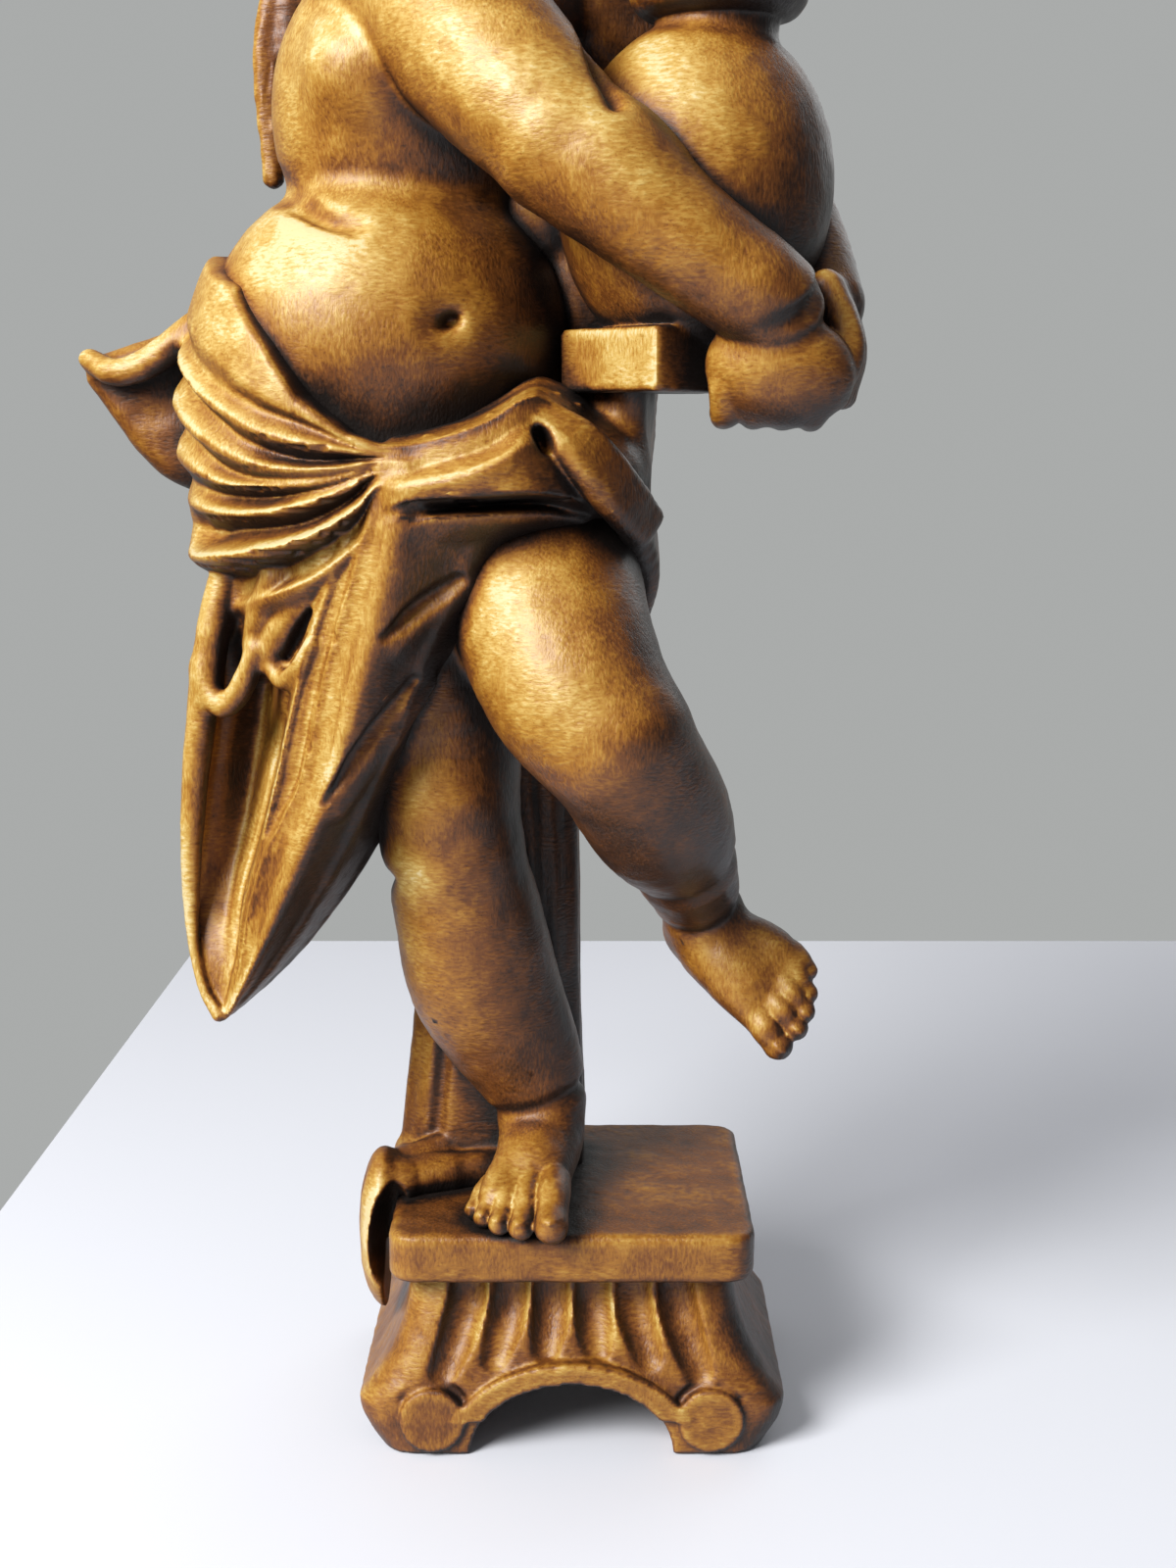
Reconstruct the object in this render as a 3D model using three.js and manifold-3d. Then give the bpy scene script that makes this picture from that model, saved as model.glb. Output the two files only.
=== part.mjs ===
// Carved limewood child angel that holds an urn and dances on one leg, on a fluted scroll foot.
// Millimetres, +Z up, the front looks towards -Y. It is carved about the middle of its foot and then moved
// so that the origin is on the floor under the middle of the whole statue.
import * as THREE from 'three';
import { mergeVertices } from 'three/addons/utils/BufferGeometryUtils.js';
import Module from 'manifold-3d';

// Driving dimensions
const base = { height: 43, neck: 37, spread: 48.7, spreadAt: 12, foot: 43.5, depthTop: 31, depthFoot: 38,
  middleY: 2, spare: 3 };
const arch = { halfWidth: 23.5, height: 18.3, border: 5, proud: 1.6 };
const scroll = { x: 32.5, z: 11.8, radius: 8.4, proud: 1.4, depth: 16 };
const flute = { count: 6, pitch: 9.8, radius: 4.7, fan: 1.22, above: 3, straight: 6, offTop: 2.2,
  offFoot: 2.6 };
const slab = { width: 82, depth: 75, bottom: 43.3, top: 54, corner: 8, edge: 2.2, middleY: 2.5 };
const urn = { x: 27, y: -22, z: 287, radius: 29.5, halfHeight: 36, lean: 8, plate: 16, plateX: 20,
  plateZ: 251.8 };
const rim = { x: 31.5, z: 328.5, ring: 13, tube: 6.3, neck: 13 };
const wrap = { centre: [-41, -1, 240], radii: [47, 46, 60], turn: 18, folds: 6, highFold: 268, foldDrop: 8.2,
  endDrop: 3 };
const wing = { top: 364, width: 33, feathers: 5, gap: 0.35, rightYaw: 12, leftYaw: 38 };
const headTurn = { yaw: 14 };
const toe = { count: 5, fan: 0.22, slim: 0.8, little: 0.22, short: 0.3 };
const hand = { fingers: 4, pitch: 6.3 };
const gridStep = { figure: 2.4, base: 1.7, wing: 1.6 };
const faces = { figure: 7400, base: 1300, wing: 440 };
const wood = { color: 0x9a6a32, roughness: 0.48, metalness: 0 };

// Landmarks of the pose
const hipRight = [-38, -2, 208];
const kneeRight = [-28, -9, 141];
const calfRight = [-22, 0, 107];
const ankleRight = [-8, 2, 74];
const hipLeft = [-12, -6, 212];
const kneeLeft = [9, -44, 172];
const calfLeft = [19.5, -27, 152];
const ankleLeft = [32, 0, 121];
const shoulderRight = [-35, -11, 334];
const elbowRight = [-2, -47, 296];
const wristRight = [41, -49, 262.5];
const shoulderLeft = [1, 15, 337];
const elbowLeft = [40, 8, 298];
const wristLeft = [55, -22, 264];
const skull = [-21, 1, 383];
const gather = [-36, -45, 231];
const peak = [-7, -42, 242];
const tailTip = [-82, -22, 105];

// Small vector helpers
const between = (a, b, t) => a.map((v, i) => v + (b[i] - v) * t);
const moved = (a, x, y, z) => [a[0] + x, a[1] + y, a[2] + z];
const radians = THREE.MathUtils.degToRad;

// A curve through stations of any width: position first, then sizes
function smoothPath(rows, steps) {
  if (rows.length < 3) return rows;
  const first = rows[0].map((v, i) => 2 * v - rows[1][i]);
  const last = rows.at(-1).map((v, i) => 2 * v - rows.at(-2)[i]);
  const all = [first, ...rows, last];
  const path = [];
  for (let i = 1; i < all.length - 2; i++) {
    const [a, b, c, d] = [all[i - 1], all[i], all[i + 1], all[i + 2]];
    for (let s = 0; s < steps; s++) {
      const t = s / steps;
      path.push(b.map((v, k) => 0.5 * (2 * v + (c[k] - a[k]) * t
        + (2 * a[k] - 5 * v + 4 * c[k] - d[k]) * t * t + (3 * v - a[k] - 3 * c[k] + d[k]) * t ** 3)));
    }
  }
  path.push(rows.at(-1));
  return path;
}

// Every form gives a signed distance at a point and the box that holds it.
// A limb is a round rod of changing radius along stations [x, y, z, radius].
// A band is a flat strap: stations [x, y, z, half thickness, half width], with its width along side.
function band(stations, side, steps = 5) {
  const path = smoothPath(stations, steps);
  const across = new THREE.Vector3(...side).normalize();
  const reach = path.map((p) => Math.max(p[3], p[4]));
  return {
    lo: [0, 1, 2].map((i) => Math.min(...path.map((p, k) => p[i] - reach[k]))),
    hi: [0, 1, 2].map((i) => Math.max(...path.map((p, k) => p[i] + reach[k]))),
    at(x, y, z) {
      let best = Infinity;
      for (let i = 0; i + 1 < path.length; i++) {
        const p = path[i];
        const q = path[i + 1];
        const ex = q[0] - p[0];
        const ey = q[1] - p[1];
        const ez = q[2] - p[2];
        let t = ((x - p[0]) * ex + (y - p[1]) * ey + (z - p[2]) * ez) / (ex * ex + ey * ey + ez * ez + 1e-9);
        t = Math.min(1, Math.max(0, t));
        const wx = x - p[0] - ex * t;
        const wy = y - p[1] - ey * t;
        const wz = z - p[2] - ez * t;
        const thick = p[3] + (q[3] - p[3]) * t;
        const spare = Math.max(0, p[4] + (q[4] - p[4]) * t - thick);
        const off = wx * across.x + wy * across.y + wz * across.z;
        const past = Math.max(0, Math.abs(off) - spare);
        const flat = Math.max(0, wx * wx + wy * wy + wz * wz - off * off);
        best = Math.min(best, Math.sqrt(flat + past * past) - thick);
      }
      return best;
    },
  };
}

const limb = (stations, steps = 5) => band(stations.map((s) => [...s, s[3]]), [0, 0, 1], steps);

function egg(centre, radii, yaw = 0, pitch = 0, roll = 0) {
  const turn = new THREE.Matrix4().makeRotationFromEuler(
    new THREE.Euler(radians(pitch), radians(roll), radians(yaw), 'ZYX'));
  const m = turn.elements;
  const half = [0, 1, 2].map((i) => Math.hypot(m[i] * radii[0], m[4 + i] * radii[1], m[8 + i] * radii[2]));
  return {
    lo: centre.map((c, i) => c - half[i]),
    hi: centre.map((c, i) => c + half[i]),
    at(x, y, z) {
      const px = x - centre[0];
      const py = y - centre[1];
      const pz = z - centre[2];
      const a = (px * m[0] + py * m[1] + pz * m[2]) / radii[0];
      const b = (px * m[4] + py * m[5] + pz * m[6]) / radii[1];
      const c = (px * m[8] + py * m[9] + pz * m[10]) / radii[2];
      const near = Math.hypot(a, b, c);
      const slope = Math.hypot(a / radii[0], b / radii[1], c / radii[2]);
      return slope < 1e-9 ? -Math.min(...radii) : near * (near - 1) / slope;
    },
  };
}

// A box with rounded edges, its upright corners rounded more; turned about Z
function block(centre, half, corner, edge, yaw = 0) {
  const cos = Math.cos(radians(yaw));
  const sin = Math.sin(radians(yaw));
  const wide = Math.hypot(half[0], half[1]);
  return {
    lo: [centre[0] - wide, centre[1] - wide, centre[2] - half[2]],
    hi: [centre[0] + wide, centre[1] + wide, centre[2] + half[2]],
    at(x, y, z) {
      const px = x - centre[0];
      const py = y - centre[1];
      const u = Math.abs(px * cos + py * sin) - half[0] + corner;
      const v = Math.abs(py * cos - px * sin) - half[1] + corner;
      const plan = Math.hypot(Math.max(u, 0), Math.max(v, 0)) + Math.min(Math.max(u, v), 0) - corner + edge;
      const rise = Math.abs(z - centre[2]) - half[2] + edge;
      return Math.hypot(Math.max(plan, 0), Math.max(rise, 0)) + Math.min(Math.max(plan, rise), 0) - edge;
    },
  };
}

// A ring about the vertical axis through the centre
function ring(centre, radius, tube) {
  const wide = radius + tube;
  return {
    lo: [centre[0] - wide, centre[1] - wide, centre[2] - tube],
    hi: [centre[0] + wide, centre[1] + wide, centre[2] + tube],
    at: (x, y, z) => Math.hypot(Math.hypot(x - centre[0], y - centre[1]) - radius, z - centre[2]) - tube,
  };
}

// All that lies below a plane
function below(point, normal) {
  const n = new THREE.Vector3(...normal).normalize();
  const far = 1e4;
  return {
    lo: [-far, -far, -far],
    hi: [far, far, far],
    at: (x, y, z) => (x - point[0]) * n.x + (y - point[1]) * n.y + (z - point[2]) * n.z,
  };
}

// A form given by a formula inside a box
const formula = (lo, hi, at) => ({ lo, hi, at });

function blendMin(a, b, blend) {
  const h = blend > 0 ? Math.max(blend - Math.abs(a - b), 0) / blend : 0;
  return Math.min(a, b) - h * h * blend * 0.25;
}

// Forms joined and cut one after another, each with the width of its soft meeting line
class Carving {
  steps = [];
  lo = [Infinity, Infinity, Infinity];
  hi = [-Infinity, -Infinity, -Infinity];

  add(form, blend = 0) {
    this.steps.push({ form, blend, kind: 'add' });
    this.lo = this.lo.map((v, i) => Math.min(v, form.lo[i]));
    this.hi = this.hi.map((v, i) => Math.max(v, form.hi[i]));
    return this;
  }

  cut(form, blend = 0) {
    this.steps.push({ form, blend, kind: 'cut' });
    return this;
  }

  keep(form, blend = 0) {
    this.steps.push({ form, blend, kind: 'keep' });
    return this;
  }

  // The same carving with only the forms that can matter inside a box
  within(lo, hi, reach = 14) {
    const part = new Carving();
    part.steps = this.steps.filter(({ form, blend, kind }) => kind === 'keep' || [0, 1, 2].every((i) =>
      form.lo[i] - blend - reach <= hi[i] && form.hi[i] + blend + reach >= lo[i]));
    part.steps = part.steps.map((s) => (s.form.within ? { ...s, form: s.form.within(lo, hi, reach) } : s));
    return part;
  }

  at(x, y, z) {
    const empty = 40;
    let d = empty;
    for (const { form, blend, kind } of this.steps) {
      const v = form.at(x, y, z);
      if (kind === 'add') d = blendMin(d, v, blend);
      else if (kind === 'cut') d = -blendMin(-d, v, blend);
      else d = -blendMin(-d, -v, blend);
    }
    return d;
  }
}

// The soft child's body under the cloth
function body() {
  const flesh = new Carving();
  flesh.add(egg([-40, 2, 226], [42, 37, 34], 15));
  flesh.add(egg([-40.5, -4, 258], [41, 39, 36], 20), 10);
  flesh.add(egg([-36, 0, 306], [31, 29, 37], 22), 5);
  flesh.add(egg([-20, 4, 330], [27, 21, 17], 30), 10);
  flesh.add(egg([-40, -20, 313], [16, 12, 13], 20), 7);
  flesh.add(limb([[-25, 3, 334, 16], [-23, 0, 352, 15]]), 8);
  flesh.cut(limb([[-67, -4, 292, 2], [-60, -24, 286, 2], [-46, -35, 280, 1.4]]), 4);
  flesh.cut(egg([-24, -45, 260], [2.6, 6, 2.4]), 2);
  return flesh;
}

// Standing leg, bent slightly at the knee
function standingLeg() {
  const leg = new Carving();
  leg.add(limb([[...hipRight, 27], [...between(hipRight, kneeRight, 0.45), 22.5],
    [...between(hipRight, kneeRight, 0.8), 18], [...kneeRight, 16.3]]));
  leg.add(limb([[...moved(kneeRight, 0, 1, -2), 16.2], [...between(kneeRight, calfRight, 0.55), 17.6],
    [...calfRight, 18.2], [-17, 2, 95, 16.4], [-11.5, 3, 84, 13.8], [...ankleRight, 11.4]]), 3);
  leg.add(egg(moved(kneeRight, 1, -9, -1), [9, 8, 9]), 5);
  leg.add(limb([[-7, 12, 62, 8.5], [-7.5, 1, 66, 10.5], [-9, -13, 62, 8.5]]), 2.5);
  leg.add(band([[-8, -6, 63, 7, 9], [-11, -18, 60, 5.4, 11], [-12.5, -25, 58, 4.4, 11.4]], [0.94, 0.34, 0]), 3);
  toes(leg, [-4.5, -27, 58.3], [-21.5, -18, 57], [-1, -11, -2.6], 5);
  return leg;
}

// Five toes fanned from the big one to the little one, pointing along way
function toes(leg, bigRoot, littleRoot, way, bigRadius) {
  for (let i = 0; i < toe.count; i++) {
    const t = i / (toe.count - 1);
    const root = between(bigRoot, littleRoot, i === 0 ? 0 : toe.fan + (1 - toe.fan) * t ** 0.9);
    const radius = bigRadius * (i === 0 ? 1 : toe.slim - toe.little * t);
    const length = i === 0 ? 1 : 0.95 - toe.short * t;
    const tip = root.map((v, k) => v + way[k] * length);
    const joint = between(root, tip, 0.6);
    leg.add(limb([[...root, radius * 0.95], [...joint, radius * 0.9], [...tip, radius]]), 0.8);
  }
}

// Leg lifted across to the side
function raisedLeg() {
  const leg = new Carving();
  leg.add(limb([[...hipLeft, 24], [-6, -20, 203, 21.8], [-3.5, -31, 193, 21.3], [2, -40, 181, 19.6],
    [...kneeLeft, 17]]));
  leg.add(limb([[...kneeLeft, 16.4], [14, -38, 163, 16.6], [...calfLeft, 16.4], [24.5, -16, 142, 13.6],
    [29, -6, 130, 10.8], [...ankleLeft, 9.8]]), 3);
  leg.add(limb([[31, 5, 117, 8.6], [37, -4, 112, 9.4], [45, -9, 105, 8]]), 2.5);
  leg.add(band([[38, -4, 111, 7, 9], [45, -9, 104, 5.4, 10.6], [48, -11, 101, 4.6, 11]],
    [-0.35, 0.3, 0.89]), 3);
  toes(leg, [43.5, -13, 97], [52, -5, 111.5], [6.2, -3.4, -3.6], 4.4);
  return leg;
}

// The near arm crosses under the urn, the far one comes round behind it
function arms() {
  const arm = new Carving();
  arm.add(limb([[...shoulderRight, 20.5], [-23, -28, 320, 18.6], [-11, -41, 305.5, 16.6],
    [...elbowRight, 14.6]]));
  arm.add(limb([[...moved(elbowRight, 0, 0, -2), 14.2], [9, -50, 286.5, 14.4], [22, -52, 276, 13],
    [34, -51, 267.5, 11.4], [...wristRight, 10.8]]), 2);
  arm.add(egg([46, -45, 249], [14, 9.5, 10.5], 0, 0, 28), 1.5);
  for (let i = 0; i < hand.fingers; i++) {
    const x = 33 + hand.pitch * i;
    arm.add(limb([[x, -46, 242.5 - 0.4 * i, 3.7], [x + 0.5, -34, 240, 3.4]]), 1);
  }
  arm.add(limb([[...shoulderLeft, 18], [23, 16, 318, 15.5], [...elbowLeft, 13.4], [49.5, -7, 280, 11.2],
    [...wristLeft, 9]]), 2);
  for (let i = 0; i < hand.fingers; i++) {
    arm.add(limb([[56 - i, -24 - 4.4 * i, 262, 4.6], [58.5 - 1.3 * i, -26 - 5 * i, 251, 4],
      [57 - 1.4 * i, -27 - 5.4 * i, 242, 3.4]]), 1.2);
  }
  return arm;
}

// Round urn on a square foot plate, closed at the top
function vessel() {
  const pot = new Carving();
  const { y } = urn;
  pot.add(egg([urn.x, y, urn.z], [urn.radius, urn.radius, urn.halfHeight], 0, 0, urn.lean));
  pot.add(block([urn.plateX, y, urn.plateZ], [urn.plate, urn.plate, 6.8], 1.5, 1.2, 40), 0.6);
  pot.add(limb([[urn.x, y, urn.z, rim.neck], [rim.x, y, rim.z - 6, rim.neck]]), 2);
  pot.add(ring([rim.x, y, rim.z], rim.ring, rim.tube), 1);
  pot.add(egg([rim.x, y, rim.z - 1.5], [rim.ring, rim.ring, 5]), 1);
  // wood left standing between the urn and the flank
  pot.add(egg([4, 2, 270], [15, 15, 27]), 2);
  pot.add(egg([-6, -4, 286], [12, 12, 14]), 2);
  return pot;
}

// Calm round child's head with short curls
function head() {
  const form = new Carving();
  const { yaw } = headTurn;
  const c = Math.cos(radians(yaw));
  const s = Math.sin(radians(yaw));
  // a point given by sideways, forward and upward distances from the middle of the skull
  const face = (side, front, up) => moved(skull, side * c + front * s, side * s - front * c, up);
  form.add(egg(skull, [29.5, 33, 29], yaw));
  form.add(egg(face(0, 8, -15), [24, 22, 20], yaw), 9);
  form.add(egg(face(0, 20, -29), [8, 8, 6.5], yaw), 6);
  for (const side of [-1, 1]) {
    form.add(egg(face(13 * side, 19, -17), [10.5, 9, 10], yaw), 6);
    form.cut(egg(face(11.5 * side, 33, -4.5), [7.5, 6, 4.6], yaw), 5);
    form.add(egg(face(11.5 * side, 26.5, -5.5), [5, 4.5, 4], yaw), 1);
    form.add(limb([[...face(5 * side, 31.5, 1.5), 2.2], [...face(12 * side, 30.5, 2.8), 2.2],
      [...face(18 * side, 25.5, 0), 1.8]]), 4);
    form.add(egg(face(29.5 * side, 0, -9), [4, 6.5, 9], yaw), 2);
  }
  form.add(limb([[...face(0, 30.5, 0), 3], [...face(0, 33.5, -8), 3.2], [...face(0, 35.5, -12.5), 3.6]]), 4);
  form.add(limb([[...face(-7, 28, -21.5), 1.6], [...face(0, 31, -20), 2.6], [...face(7, 28, -21.5), 1.6]]), 2);
  form.add(limb([[...face(-5, 28, -24.5), 1.8], [...face(0, 30, -25), 2.6], [...face(5, 28, -24.5), 1.8]]), 2);
  form.cut(limb([[...face(-7.5, 30, -22.6), 0.8], [...face(0, 33.5, -22.8), 0.9],
    [...face(7.5, 30, -22.6), 0.8]]), 1);
  curls(form, face);
  return form;
}

// Curls set in rings round the skull, thick at the brow and behind the ears
function curls(form, face) {
  const rows = [
    { up: 23, radius: 20, count: 7, size: 8.5 },
    { up: 12, radius: 28.5, count: 11, size: 8.8 },
    { up: -3, radius: 30, count: 9, size: 8.6 },
    { up: -17, radius: 26, count: 7, size: 8 },
  ];
  const open = [-180, -180, 62, 82];
  form.add(egg(face(0, -4, 6), [30.5, 31, 28.5], headTurn.yaw), 2);
  rows.forEach(({ up, radius, count, size }, row) => {
    for (let i = 0; i < count; i++) {
      const bare = Math.max(open[row], 0);
      const turn = open[row] < 0
        ? 360 * (i + 0.5 * (row % 2)) / count
        : bare + (360 - 2 * bare) * i / (count - 1);
      const side = radius * Math.sin(radians(turn));
      const front = radius * 1.1 * Math.cos(radians(turn)) - 2;
      form.add(egg(face(side, front, up), [size, size, size * 0.86], turn, 0, 20), 1.2);
    }
  });
  form.add(egg(face(0, 0, 29), [9, 9, 7]), 1.5);
}

// A point on the hip wrap at an angle from the front, at a height, lifted off its surface
function onWrap(azimuth, height, lift) {
  const [cx, cy, cz] = wrap.centre;
  const shrink = Math.sqrt(Math.max(0.05, 1 - ((height - cz) / wrap.radii[2]) ** 2));
  const a = radians(azimuth);
  const u = (wrap.radii[0] * shrink + lift) * Math.sin(a);
  const v = -(wrap.radii[1] * shrink + lift) * Math.cos(a);
  const t = radians(wrap.turn);
  return [cx + u * Math.cos(t) - v * Math.sin(t), cy + u * Math.sin(t) + v * Math.cos(t), height];
}

// Cloth wound round the hips, its folds drawn together at the front
function hipCloth() {
  const cloth = new Carving();
  cloth.add(egg(wrap.centre, wrap.radii, wrap.turn));
  for (let i = 0; i < wrap.folds; i++) {
    const start = wrap.highFold - wrap.foldDrop * i;
    const end = gather[2] + 3 - wrap.endDrop * i;
    const path = [[...onWrap(-165, start - 6, 0), wrap.foldDrop * 0.5]];
    for (let s = 0; s <= 6; s++) {
      const t = s / 6;
      const fall = (1 - t) ** 1.7;
      const radius = 0.6 * (wrap.endDrop + (wrap.foldDrop - wrap.endDrop) * fall);
      path.push([...onWrap(-118 + (106 - 3 * i) * t, end + (start - end) * fall, 0.3 * radius), radius]);
    }
    cloth.add(limb(path, 3), 0.6);
  }
  cloth.keep(below([-84, 0, 273], [0.415, -0.308, 0.856]), 3);
  // pouch of slack cloth, its rim rolled over, and the tuck under it
  const rimRoll = [[-118, 226, 5], [-106, 212, 5.4], [-80, 206, 5.4], [-50, 212, 5], [-26, 222, 4.4],
    [-8, 230, 4]];
  cloth.add(limb(rimRoll.map(([azimuth, height, r]) => [...onWrap(azimuth, height, 3.5), r])), 1.5);
  const tuck = [[-100, 197, 4], [-66, 198, 4.4], [-34, 206, 4.2], [-16, 218, 4]];
  cloth.add(limb(tuck.map(([azimuth, height, r]) => [...onWrap(azimuth, height, 4), r])), 1.5);
  // cloth carried over the lifted thigh to a peak, with the slot and hole under it
  cloth.add(egg([-6, -15, 228], [23, 27, 15], 10), 4);
  cloth.add(band([[...moved(gather, 1, -1, -1), 4.6, 7], [-20, -46, 231, 4.6, 8.5],
    [...moved(peak, 0, 0, -4), 4, 7]], [0.1, -0.55, 0.83]), 1.5);
  cloth.add(limb([[...peak, 4.2], [3, -42, 233, 5.8], [11, -37, 223.5, 5.8], [16, -28, 217, 4.6]]), 1.2);
  cloth.add(limb([[-37, -47, 217, 5], [-22, -46, 214, 4.8], [-10, -41, 214, 4]]), 2);
  cloth.cut(limb([[-35, -52, 222, 1.6], [-22, -53, 221, 2.4], [-4, -48, 222, 2.2]]), 0.8);
  cloth.cut(egg([-4.5, -47, 234], [2.6, 9, 4.6], 0, 0, -20), 1);
  // strip and corner of cloth hanging behind the lifted thigh
  cloth.add(band([[13, -22, 219, 4.4, 9], [16.5, -11, 208, 3.6, 9.5], [15, -5, 197, 3, 7.5]],
    [0, 0.85, 0.53]), 3);
  cloth.add(band([[10, 12, 250, 6, 17], [8, 13, 228, 7, 13], [4, 13, 200, 8, 11]], [1, 0.1, 0]), 4);
  return cloth;
}

// Long tail of cloth falling from the gather to its tip beside the standing leg
function clothTail() {
  const cloth = new Carving();
  cloth.add(band([[-56, -17, 208, 10, 20], [-61, -19, 178, 9.5, 19], [-70, -18, 145, 8, 16],
    [-80, -19, 118, 5, 8.5], [...tailTip, 2.6, 3]], [0.93, -0.36, 0]));
  cloth.add(band([[-26, -37, 222, 6, 15], [-35, -34, 204, 6.5, 14], [-46, -28, 172, 6.5, 15],
    [-57, -24, 142, 5.5, 14], [-71, -22, 118, 4, 9]], [0.75, 0.62, 0]), 3);
  cloth.add(band([[...gather, 5, 6], [-42, -45, 210, 5.6, 8.4], [-50, -41, 182, 5.6, 8.6],
    [-60, -36, 150, 5, 7.6], [-72, -30, 122, 4.2, 5.6], [...tailTip, 3, 3]], [0.82, -0.57, 0]), 2);
  cloth.add(limb([[-78, -12, 200, 5], [-84, -13, 178, 4.2], [-87.5, -13, 152, 4], [-89, -15, 128, 3.8],
    [-87.5, -18, 114, 3.4], [...tailTip, 3]]), 2);
  cloth.cut(limb([[-69, -31, 196, 4], [-74, -29, 172, 8], [-77, -31, 144, 9], [-82, -29, 121, 5.5],
    [-83, -28, 112, 2]]), 2);
  cloth.add(limb([[-61, -33, 200, 4.4], [-65, -32, 178, 3.2], [-69, -29, 156, 2.2]]), 1.5);
  cloth.cut(limb([[-14, -40, 209, 1.6], [-27, -43, 201, 2.6], [-37, -46, 195, 1.2]]), 1.5);
  cloth.cut(limb([[-31, -42, 187, 1.4], [-42, -41, 171, 2.6], [-54, -38, 156, 1]]), 1.5);
  return cloth;
}

// Loose end blown out behind the hip
function clothEnd() {
  const cloth = new Carving();
  cloth.add(band([[-78, 16, 242, 7, 23], [-94, 13, 243, 5.5, 17], [-111, 11, 250, 3, 4]], [0.12, 0, 1]));
  cloth.add(limb([[-86, 2, 260, 4], [-98, 3, 252, 3.6], [-106, 4, 250, 3.2], [-112.5, 8, 253, 2.6]]), 2);
  cloth.cut(limb([[-86, 0, 246, 7], [-98, 2, 241, 6], [-106, 3, 243, 3]]), 2);
  return cloth;
}

// Cloth falling behind the standing leg to the slab, which carries much of the weight
function clothPost() {
  const cloth = new Carving();
  const line = [[-30, 24, 222], [-22, 22, 175], [-18, 19, 130], [-19, 18, 95], [-20, 16, 66], [-21, 15, 51]];
  const deep = [15, 13, 12, 12, 13, 13];
  const wide = [30, 22, 18.5, 20, 22.5, 23];
  cloth.add(band(line.map((p, i) => [...p, deep[i], wide[i]]), [1, 0, 0]));
  for (let i = -2; i <= 2; i++) {
    const fold = line.map((p, k) => [p[0] + i * wide[k] * 0.42, p[1] + deep[k] * (0.86 - 0.1 * i * i), p[2],
      4.2]);
    cloth.add(limb(fold), 1.2);
  }
  for (const side of [-1, 1]) {
    const fold = line.map((p, k) => [p[0] + side * wide[k] * 0.86, p[1] - 3, p[2], 3.6]);
    cloth.add(limb(fold), 1.5);
  }
  // the hem spreads over the slab and curls down over its edge
  cloth.add(limb([[-14, 2, 56, 4.5], [-28, -2, 57, 4.6], [-40, -6, 56.5, 4.4], [-46, -10, 53, 3.6]]), 3);
  cloth.add(band([[-34, 4, 57, 4, 14], [-43, 0, 57, 4, 15], [-48.5, -3, 50, 3.6, 15], [-50, -5, 37, 3.4, 14],
    [-48, -8, 24, 3, 11]], [0, 1, 0]), 2);
  return cloth;
}

function figure() {
  const skin = new Carving();
  skin.add(body());
  skin.add(standingLeg(), 4);
  skin.add(raisedLeg(), 3);
  skin.add(arms(), 2);
  skin.add(head(), 3);
  const cloth = new Carving();
  cloth.add(hipCloth());
  cloth.add(clothTail(), 2);
  cloth.add(clothEnd(), 3);
  cloth.add(clothPost(), 4);
  const whole = new Carving();
  whole.add(skin);
  whole.add(cloth, 0.6);
  whole.add(vessel(), 0.6);
  const half = [slab.width / 2, slab.depth / 2, (slab.top - slab.bottom) / 2];
  whole.add(block([0, slab.middleY, (slab.top + slab.bottom) / 2], half, slab.corner, slab.edge), 0.6);
  // nothing of the figure reaches under the slab
  const under = [slab.width / 2 + 3, slab.depth, slab.bottom / 2 + 5];
  whole.cut(block([0, slab.middleY, slab.bottom - under[2]], under, 1, 0));
  return whole;
}

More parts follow.
